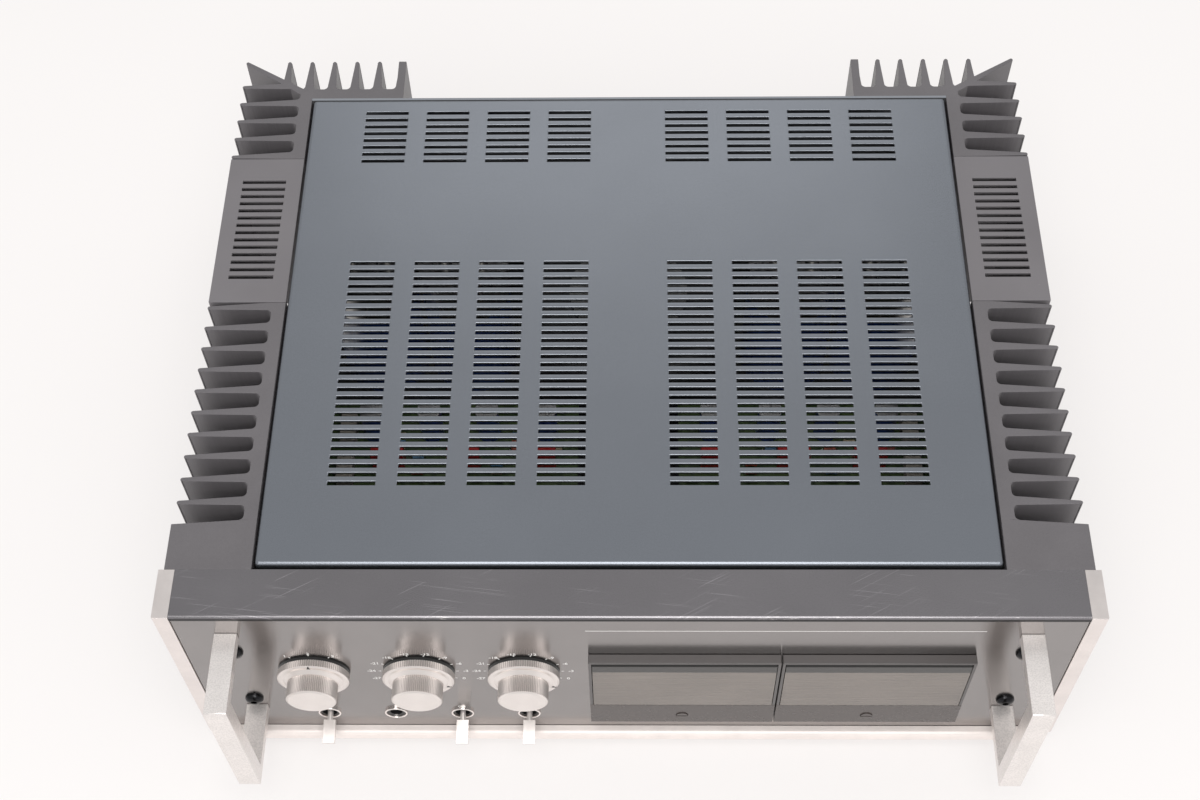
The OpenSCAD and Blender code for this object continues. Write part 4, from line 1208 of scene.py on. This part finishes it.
@dataclass
class FrontPrint:
    """Dial numbers and ticks round the knobs, ON over the toggles, and the rule over the meters."""

    lettering: Lettering
    number_radii: Pair = (23.8, 21.3)
    number_height: float = 2.3
    tick_radii: Pair = (18.9, 20.2)
    tick_width: float = 0.6
    first_angle: float = 201.5
    last_angle: float = LEVEL_END
    numbers: int = 10
    number_step: int = 3
    selector_angles: tuple[float, ...] = (120.0, 90.0, 60.0)
    rule_up: float = 119.6
    rule_over: Pair = (0.9, 0.5)
    rule_width: float = 0.5
    word_height: float = 1.7
    word_up: float = 6.7

    def level_marks(self) -> dict[float, str]:
        """Gives the marks of a level knob.

        Returns:
            The number at each angle, in degrees from the right.
        """
        last = self.numbers - 1
        swing = self.last_angle - self.first_angle
        return {self.first_angle + i / last * swing: str(self.number_step * (i - last))
                for i in range(self.numbers)}

    def dial(self, mesh: Mesh, hub: Vector, marks: dict[float, str]) -> None:
        """Prints the numbers and ticks round a knob.

        Args:
            mesh: The mesh to add to.
            hub: Where the knob's axis meets the panel, in metres.
            marks: The number at each angle, in degrees from the right.
        """
        wide, high = self.number_radii
        for degrees, words in marks.items():
            across, up = math.cos(math.radians(degrees)), math.sin(math.radians(degrees))
            beside = facing((hub.x + wide * across * MM, hub.y, hub.z + high * up * MM))
            self.lettering.text(mesh, words, beside, self.number_height)
            tick = [(radius * across, radius * up) for radius in self.tick_radii]
            self.lettering.stroke(mesh, facing(hub), tick, self.tick_width)

    def build(self) -> Piece:
        """Makes the print.

        Returns:
            The print as one piece.
        """
        mesh = bmesh.new()
        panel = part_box("front_panel")[0]
        marks = {f"{side}_level": self.level_marks() for side in SIDES}
        marks["input"] = {angle: str(1 + i) for i, angle in enumerate(self.selector_angles)}
        for name, dial in marks.items():
            hub = middle(f"{name}_knob")
            self.dial(mesh, Vector((hub.x, panel.y, hub.z)), dial)
        word_z = middle("bezel_rings").z + self.word_up * MM
        for name in TOGGLES:
            over = facing((middle(f"{name}_lever").x, panel.y, word_z))
            self.lettering.text(mesh, "ON", over, self.word_height)
        left, right = (corner.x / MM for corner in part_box("meter_cases"))
        ends = [(left - self.rule_over[0], 0), (right + self.rule_over[1], 0)]
        rule = facing((0, panel.y, panel.z + self.rule_up * MM))
        self.lettering.stroke(mesh, rule, ends, self.rule_width)
        return mesh_piece("panel_print", mesh, [WHITE_INK])


@dataclass
class KnobMarks:
    """Small filled pointers on the knobs' skirts."""

    angles: tuple[tuple[str, float], ...] = (
        ("input", 90.0), ("left_level", LEVEL_END), ("right_level", LEVEL_END))
    width: float = 2.0
    tip: float = 0.5
    length: float = 2.2
    radius: float = 17.3
    proud: float = 0.04
    root: float = 0.3
    taper: float = 0.08
    skirt_front: float = 4.0

    def build(self) -> list[Piece]:
        """Makes the pointer of each knob."""
        return [self.pointer(name, math.radians(angle)) for name, angle in self.angles]

    def pointer(self, name: str, angle: float) -> Piece:
        """Makes one pointer, a thin wedge let into the skirt's face.

        Args:
            name: The knob's name.
            angle: Where it is on the skirt, in radians from the right.

        Returns:
            The pointer.
        """
        hub = middle(f"{name}_knob")
        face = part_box(f"{name}_knob")[1].y - self.skirt_front * MM
        inside = self.radius - self.length
        outline = [(self.radius, self.tip / 2), (self.radius, -self.tip / 2), (inside, -self.width / 2),
                   (inside, self.width / 2)]
        centre = Vector((self.radius - self.length / 2, 0))
        rows = []
        for share, z in ((1.0, -self.root), (1.0, self.proud / 2), (1 - self.taper, self.proud)):
            points = [centre + (Vector(p) - centre) * share for p in outline]
            rows.append([Vector((p.x, p.y, z)) for p in points])
        mesh = bmesh.new()
        loft(mesh, rows, facing((hub.x, face, hub.z), angle))
        return mesh_piece(f"{name}_pointer", mesh, [DARK_INK], f"{name}_control")


@dataclass
class MeterDials:
    """Printed arcs, ticks and numbers on the meters' scales."""

    lettering: Lettering
    pivot_up: float = 13.5
    swing: float = 84.0
    radius: float = 43.0
    divisions: int = 40
    numbered: int = 4
    long_tick: Pair = (4.0, 0.5)
    short_tick: Pair = (2.2, 0.3)
    arc_width: float = 0.5
    number_height: float = 3.0
    number_out: float = 6.6

    def build(self) -> list[Piece]:
        """Makes the print of both scales."""
        return [self.dial(side) for side in SIDES]

    def direction(self, share: float) -> Vector:
        """Gives the needle's direction at a share of its swing."""
        angle = math.radians(90 + self.swing / 2 - share * self.swing)
        return Vector((math.cos(angle), math.sin(angle)))

    def dial(self, side: str) -> Piece:
        """Prints one scale.

        Args:
            side: The meter's side.

        Returns:
            The print.
        """
        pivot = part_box("meter_cases")[0].z + self.pivot_up * MM
        spot = facing((middle(f"{side}_zero_screw").x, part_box("meter_scales")[0].y, pivot))
        mesh = bmesh.new()
        ways = [self.direction(i / self.divisions) for i in range(self.divisions + 1)]
        self.lettering.stroke(mesh, spot, [tuple(way * self.radius) for way in ways], self.arc_width)
        for i, way in enumerate(ways):
            length, width = self.short_tick if i % self.numbered else self.long_tick
            ends = [tuple(way * radius) for radius in (self.radius, self.radius + length)]
            self.lettering.stroke(mesh, spot, ends, width)
            if i % self.numbered == 0:
                place = way * (self.radius + self.number_out)
                at = spot @ Matrix.Translation(Vector((place.x, place.y, 0)) * MM)
                self.lettering.text(mesh, str(i // self.numbered), at, self.number_height)
        return mesh_piece(f"{side}_dial", mesh, [WHITE_INK])


@dataclass
class PanelBolts:
    """Button-head bolts with hexagon sockets, two inside each handle."""

    finish: Finish
    turns: tuple[float, ...] = (0.2, 0.7, 0.45, 0.95)
    head_height: float = 3.0
    head_radius: float = 4.75
    shank_radius: float = 2.5
    point: Pair = (0.8, 0.6)
    key: float = 3.0
    socket_depth: float = 1.7
    profile: tuple[Pair, ...] = ((1.0, 0.0), (1.0, 0.2), (0.97, 0.4), (0.88, 0.65), (0.74, 0.84),
                                 (0.57, 0.96), (0.42, 1.0))
    smooth_angle: float = 35.0

    def hexagon(self, height: float, steps: int = 24) -> list[Vector]:
        """Gives points round the key's hexagon.

        Args:
            height: Its distance along the bolt in millimetres.
            steps: How many points.

        Returns:
            The points.
        """
        points = []
        for i in range(steps):
            angle = 2 * math.pi * i / steps
            radius = self.key / 2 / math.cos(angle % (math.pi / 3) - math.pi / 6)
            points.append(Vector((radius * math.cos(angle), radius * math.sin(angle), height)))
        return points

    def bolt(self, mesh: Mesh, low: Vector, high: Vector, turn: float) -> None:
        """Adds one bolt.

        Args:
            mesh: The mesh to add to.
            low, high: The bolt's box in metres.
            turn: A turn about its axis in radians.
        """
        seat = (low + high) / 2
        seat.y = low.y + self.head_height * MM
        length = (high.y - low.y) / MM - self.head_height
        share, point = self.point
        rows = [circle(self.shank_radius * share, -length), circle(self.shank_radius, point - length)]
        rows.append(circle(self.shank_radius, 0.0))
        rows += [circle(self.head_radius * r, self.head_height * h) for r, h in self.profile]
        rows += [self.hexagon(self.head_height - depth) for depth in (0.0, self.socket_depth)]
        loft(mesh, rows, facing(seat, turn))

    def build(self) -> Piece:
        """Makes the bolts.

        Returns:
            The bolts as one piece, which stands for its node.
        """
        mesh = bmesh.new()
        for turn, (low, high) in zip(self.turns, node_boxes("panel_bolts")):
            self.bolt(mesh, low, high, turn)
        piece = mesh_piece("button_bolts", mesh, [self.finish], angle=self.smooth_angle)
        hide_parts("panel_bolts")
        return piece


@dataclass
class RearHardware:
    """Screws, contacts and insulators on the rear panel and the underside, in millimetres."""

    head_radius: float = 3.0
    head_height: float = 1.9
    head_profile: tuple[Pair, ...] = ((1.0, 0.0), (1.0, 0.45), (0.94, 0.72), (0.82, 0.92), (0.72, 1.0))
    head_steps: int = 24
    recess: float = 1.1
    cross: Pair = (1.9, 0.45)
    cross_foot: Pair = (0.55, 0.9)
    panel_inset: Pair = (9.0, 7.0)
    plate_inset: float = 12.0
    seed: int = 7
    # Each kind of socket: its node, its radius, its ring's inside, outside and height, and the
    # material numbers of the lower and the upper row.
    sockets: tuple[tuple[str, float, Point, tuple[int, int]], ...] = (
        ("speaker_sockets_red", 5.8, (2.06, 3.1, 0.2), (0, 0)),
        ("speaker_sockets_black", 5.8, (2.06, 3.1, 0.2), (0, 0)),
        ("signal_sockets", 6.0, (1.66, 3.35, 0.15), (1, 2)))
    ring_steps: int = 32
    rim: float = 0.4
    inlet_depth: float = 16.5
    blades: tuple[Pair, ...] = ((0, 2), (-7, -2), (7, -2))
    blade_outline: tuple[Pair, ...] = ((-1, -2), (1, -2), (1, 2), (-1, 2))
    blade_profile: tuple[Pair, ...] = ((1.06, 0.0), (1.06, 13.2), (0.72, 14.3))
    blade_edge: float = 0.2
    smooth_angle: float = 30.0

    def screw(self, mesh: Mesh, spot: Matrix) -> None:
        """Adds a pan-head screw with a cross recess.

        Args:
            mesh: The mesh to add to.
            spot: The frame of its seat.
        """
        arm, half = self.cross
        corners = [(arm, -half), (arm, half), (half, half), (half, arm), (-half, arm), (-half, half)]
        corners += [(-x, -y) for x, y in corners]
        cross = []
        for (x, y), (next_x, next_y) in zip(corners, corners[1:] + corners[:1]):
            cross += [(x, y), ((x + next_x) / 2, (y + next_y) / 2)]
        start = round(self.head_steps * math.atan2(-half, arm) / (2 * math.pi))
        rows = [circle(self.head_radius * share, self.head_height * up, self.head_steps)
                for share, up in self.head_profile]
        rows = [row[start:] + row[:start] for row in rows]
        wide, high = self.cross_foot
        rows.append([Vector((x, y, self.head_height)) for x, y in cross])
        rows.append([Vector((x * wide, y * high, self.head_height - self.recess)) for x, y in cross])
        loft(mesh, rows, spot)

    def screws(self) -> Piece:
        """Makes the screws of the rear panel and the bottom plate.

        Returns:
            The screws as one piece.
        """
        mesh = bmesh.new()
        chance = random.Random(self.seed)
        low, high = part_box("rear_panel")
        inset_x, inset_z = (inset * MM for inset in self.panel_inset)
        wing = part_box("rear_heatsink_right")[0].x - inset_x
        for x in (-wing, 0.0, wing):
            for z in (low.z + inset_z, high.z - inset_z):
                self.screw(mesh, facing((x, high.y, z), chance.uniform(0, math.pi), True))
        low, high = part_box("bottom_plate")
        inset = self.plate_inset * MM
        down = Matrix.Rotation(math.pi, 4, "X")
        for x in (low.x + inset, 0.0, high.x - inset):
            for y in (low.y + inset, (low.y + high.y) / 2, high.y - inset):
                turn = Matrix.Rotation(chance.uniform(0, math.pi), 4, "Z")
                self.screw(mesh, Matrix.Translation((x, y, low.z)) @ down @ turn)
        return mesh_piece("case_screws", mesh, [SCREW_STEEL], angle=self.smooth_angle)

    def sleeve(self, mesh: Mesh, spot: Matrix, size: Point, number: int) -> None:
        """Adds a flat ring with a rounded rim.

        Args:
            mesh: The mesh to add to.
            spot: The frame of its seat.
            size: Its inner and outer radius and its height.
            number: The material number of its faces.
        """
        inside, outside, proud = size
        rim = proud * self.rim
        profile = [(outside, 0.0), (outside, proud - rim), (outside - rim, proud), (inside + rim, proud),
                   (inside, proud - rim), (inside, 0.0)]
        rows = [circle(r, h, self.ring_steps) for r, h in profile]
        loft(mesh, rows + rows[:1], spot, number, closed=False)
        bmesh.ops.remove_doubles(mesh, verts=mesh.verts, dist=MERGE)

    def contacts(self) -> Piece:
        """Makes the sockets' metal contacts and insulators.

        Returns:
            The rings as one piece.
        """
        mesh = bmesh.new()
        for node, radius, size, numbers in self.sockets:
            low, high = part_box(node)
            inset = radius * MM
            for x in (low.x + inset, high.x - inset):
                for number, z in zip(numbers, (low.z + inset, high.z - inset)):
                    self.sleeve(mesh, facing((x, high.y, z), 0, True), size, number)
        return mesh_piece("socket_contacts", mesh, [BRASS, *INSULATORS], angle=self.smooth_angle)

    def inlet_pins(self) -> Piece:
        """Makes the metal blades of the mains inlet.

        Returns:
            The blades as one piece.
        """
        back = middle("mains_inlet")
        back.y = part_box("mains_inlet")[1].y - self.inlet_depth * MM
        mesh = bmesh.new()
        for x, z in self.blades:
            rows = [[Vector((x + px * share, along, z + pz * share)) for px, pz in self.blade_outline]
                    for share, along in self.blade_profile]
            loft(mesh, rows, Matrix.Translation(back))
        bmesh.ops.bevel(mesh, geom=list(mesh.edges), offset=self.blade_edge * MM, segments=2, affect="EDGES")
        return mesh_piece("inlet_blades", mesh, [BRIGHT])

    def build(self) -> None:
        """Makes all the rear hardware."""
        self.screws()
        self.contacts()
        self.inlet_pins()


@dataclass
class BoardParts:
    """Small resistors on the amplifier boards, seen through the slots."""

    length: float = 6.5
    radius: float = 1.15
    profile: tuple[Pair, ...] = ((0.5, 0.0), (0.95, 0.25), (1.0, 0.9), (0.82, 1.6))
    steps: int = 10
    wire: float = 0.3
    wire_start: float = 0.9
    reach: float = 1.2
    pitch: Pair = (11.0, 5.0)
    margin: float = 7.0
    lift: float = 1.6
    filled: float = 0.62
    seed: int = 41
    bodies: tuple[Colour, ...] = ((0.62, 0.50, 0.32), (0.12, 0.28, 0.46), (0.46, 0.10, 0.05))
    smooth_angle: float = 50.0

    def occupied(self, x: float, y: float) -> bool:
        """Tells whether a larger component stands at a place.

        Args:
            x, y: The place in metres.

        Returns:
            Whether it is taken.
        """
        room = self.length * MM
        for node in ("film_capacitors", "small_capacitors", "cement_resistors"):
            for low, high in node_boxes(node):
                if low.x - room < x < high.x + room and low.y - room / 2 < y < high.y + room / 2:
                    return True
        return False

    def resistor(self, mesh: Mesh, foot: Point, number: int) -> None:
        """Adds a resistor with swollen ends and two bent leads.

        Args:
            mesh: The mesh to add to.
            foot: The place on the board under its middle, in metres.
            number: The material number of its body.
        """
        half = self.length / 2
        ends = [(share, at - half) for share, at in self.profile]
        ends += [(share, -at) for share, at in reversed(ends)]
        lifted = Matrix.Translation((*foot[:2], foot[2] + self.lift * MM))
        rows = [circle(self.radius * share, at, self.steps) for share, at in ends]
        loft(mesh, rows, lifted @ Matrix.Rotation(math.pi / 2, 4, "Y"), number)
        angles = [math.pi / 2 * i for i in range(4)]
        turns = [(self.wire * math.cos(a), self.wire * math.sin(a)) for a in angles]
        reach = half + self.reach
        for side in (-1, 1):
            path = [(half * self.wire_start, 0.0), (reach - self.wire, 0.0), (reach, -self.wire),
                    (reach, -self.lift)]
            rows = []
            for i, (along, up) in enumerate(path):
                bent = i >= 2
                rows.append([Vector((side * along + c * bent, s, self.lift + up + c * (not bent)))
                             for c, s in turns])
            loft(mesh, rows, Matrix.Translation(foot), len(self.bodies))

    def build(self) -> Piece:
        """Makes the resistors of both boards.

        Returns:
            The resistors as one piece.
        """
        chance = random.Random(self.seed)
        mesh = bmesh.new()
        margin = self.margin * MM
        step_x, step_y = (pitch * MM for pitch in self.pitch)
        for low, high in node_boxes("amp_boards"):
            for i in range(int((high.x - low.x - 2 * margin) / step_x) + 1):
                for j in range(int((high.y - low.y - 2 * margin) / step_y) + 1):
                    x, y = low.x + margin + i * step_x, low.y + margin + j * step_y
                    number = chance.randrange(len(self.bodies))
                    if chance.random() < self.filled and not self.occupied(x, y):
                        self.resistor(mesh, (x, y, high.z), number)
        finishes = [Moulding(f"resistor_{i}", colour, gloss=0.3) for i, colour in enumerate(self.bodies)]
        return mesh_piece("board_resistors", mesh, [*finishes, BRIGHT], angle=self.smooth_angle)


@dataclass
class Studio:
    """A pale table, a soft room, and soft lamps above the front and the rear."""

    table: Colour = (0.95, 0.925, 0.915)
    table_half: float = 4.0
    table_cloud: float = 0.015
    glow: float = 0.62
    room: float = 0.75
    mirrored: float = 0.65
    behind: Colour = (0.97, 0.955, 0.945)
    lamp_colour: Colour = (1.0, 0.985, 0.97)
    lamps: tuple[tuple[Point, Pair, float], ...] = (
        ((0.0, -0.75, 1.35), (0.85, 1.1), 12.0), ((0.0, 1.35, 1.35), (0.9, 0.6), 1.2))

    def seen(self, graph: Graph) -> tuple[Socket, Socket]:
        """Tells the rays that see the surroundings from those that only carry light.

        Args:
            graph: The graph to draw into.

        Returns:
            Masks for the camera's rays and for all that see, glossy and transmission rays too.
        """
        path = graph.add("LightPath").outputs
        mirrored = graph.math("MAXIMUM", path["Is Glossy Ray"], path["Is Transmission Ray"])
        return path["Is Camera Ray"], graph.math("MAXIMUM", path["Is Camera Ray"], mirrored)

    def floor(self) -> Piece:
        """Makes the table top.

        Returns:
            The table top.
        """
        material = bpy.data.materials.new("table_top")
        graph = Graph(material)
        colour = graph.mix(graph.grain(400.0), scaled(self.table, 1 - self.table_cloud),
                           scaled(self.table, 1 + self.table_cloud))
        matt = graph.add("BsdfDiffuse", {"Color": colour}).outputs[0]
        glow = graph.add("Emission", {"Color": colour, "Strength": 1.0}).outputs[0]
        share = graph.math("MULTIPLY", self.seen(graph)[1], self.glow)
        shader = graph.add("MixShader", {0: share, 1: matt, 2: glow}).outputs[0]
        graph.add("OutputMaterial", {"Surface": shader})
        mesh = bpy.data.meshes.new("table_top")
        half = self.table_half
        corners = [(-half, -half, 0), (half, -half, 0), (half, half, 0), (-half, half, 0)]
        mesh.from_pydata(corners, [], [(0, 1, 2, 3)])
        mesh.materials.append(material)
        table = bpy.data.objects.new("table_top", mesh)
        bpy.context.scene.collection.objects.link(table)
        return table

    def world(self) -> None:
        """Makes the room's light, and the pale room that is seen behind and reflected."""
        world = bpy.data.worlds.new("room")
        bpy.context.scene.world = world
        graph = Graph(world)
        direct, seen = self.seen(graph)
        level = graph.mix(direct, graph.mix(seen, (self.room,) * 3, (self.mirrored,) * 3), self.behind)
        light = graph.add("Background", {"Color": level, "Strength": 1.0}).outputs[0]
        graph.add("OutputWorld", {"Surface": light})

    def lamp(self, place: Point, size: Pair, power: float) -> None:
        """Hangs a soft lamp that faces the object.

        Args:
            place: Where it hangs, in metres.
            size: Its width and height in metres.
            power: Its power in watts.
        """
        data = bpy.data.lights.new("soft_lamp", "AREA")
        data.shape = "RECTANGLE"
        data.size, data.size_y = size
        data.energy = power
        data.color = self.lamp_colour
        lamp = bpy.data.objects.new("soft_lamp", data)
        lamp.location = place
        lamp.rotation_euler = (-Vector(place)).to_track_quat("-Z", "Y").to_euler()
        bpy.context.scene.collection.objects.link(lamp)

    def build(self) -> None:
        """Sets up the floor, the room and the lamps."""
        self.floor()
        self.world()
        for lamp in self.lamps:
            self.lamp(*lamp)
        bpy.context.scene.view_settings.view_transform = "Standard"
        LOG.info("table, room and %d lamps", len(self.lamps))


@dataclass
class PhotoCamera:
    """The camera at the photograph's place, in metres and degrees."""

    place: Point = (0.00322, -0.52099, 0.90541)
    down: float = 57.251
    yaw: float = 2.042
    roll: float = -1.797
    lens: float = 52.953
    sensor: float = 36.0
    clip: Pair = (0.01, 100.0)

    def build(self) -> Piece:
        """Makes the camera.

        Returns:
            The scene's camera.
        """
        down, yaw, roll = (math.radians(angle) for angle in (self.down, self.yaw, self.roll))
        right = Vector((math.cos(yaw), math.sin(yaw), 0))
        ahead = Vector((-math.sin(yaw) * math.cos(down), math.cos(yaw) * math.cos(down), -math.sin(down)))
        up = right.cross(ahead)
        tilted_right = right * math.cos(roll) + up * math.sin(roll)
        tilted_up = up * math.cos(roll) - right * math.sin(roll)
        data = bpy.data.cameras.new("camera")
        data.sensor_fit = "HORIZONTAL"
        data.sensor_width = self.sensor
        data.lens = self.lens
        data.clip_start, data.clip_end = self.clip
        camera = bpy.data.objects.new("camera", data)
        axes = Matrix((tilted_right, tilted_up, -ahead)).transposed().to_4x4()
        camera.matrix_world = Matrix.Translation(self.place) @ axes
        bpy.context.scene.collection.objects.link(camera)
        bpy.context.scene.camera = camera
        LOG.info("camera at %s", self.place)
        return camera


def main() -> None:
    """Builds the scene, piece by piece."""
    logging.basicConfig(level=logging.INFO, format="%(name)s: %(message)s")
    PhotoCamera().build()
    rail_low, rail_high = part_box("top_rail")
    tops = {node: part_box(node)[1].z for node in ("rear_panel", "small_capacitors", "meter_windows")}
    finishes = Finishes(rail_low.y, rail_high.z, tops["rear_panel"], tuple(middle("transformer")),
                        tops["small_capacitors"], tops["meter_windows"])
    CadDressing(finishes).build()
    TopCover(finishes.by_slot()["cover_paint"]).build()
    lettering = Lettering()
    FrontPrint(lettering).build()
    KnobMarks().build()
    MeterDials(lettering).build()
    PanelBolts(finishes.by_slot()["black_steel"]).build()
    RearHardware().build()
    BoardParts().build()
    Studio().build()


if __name__ == "__main__":
    main()
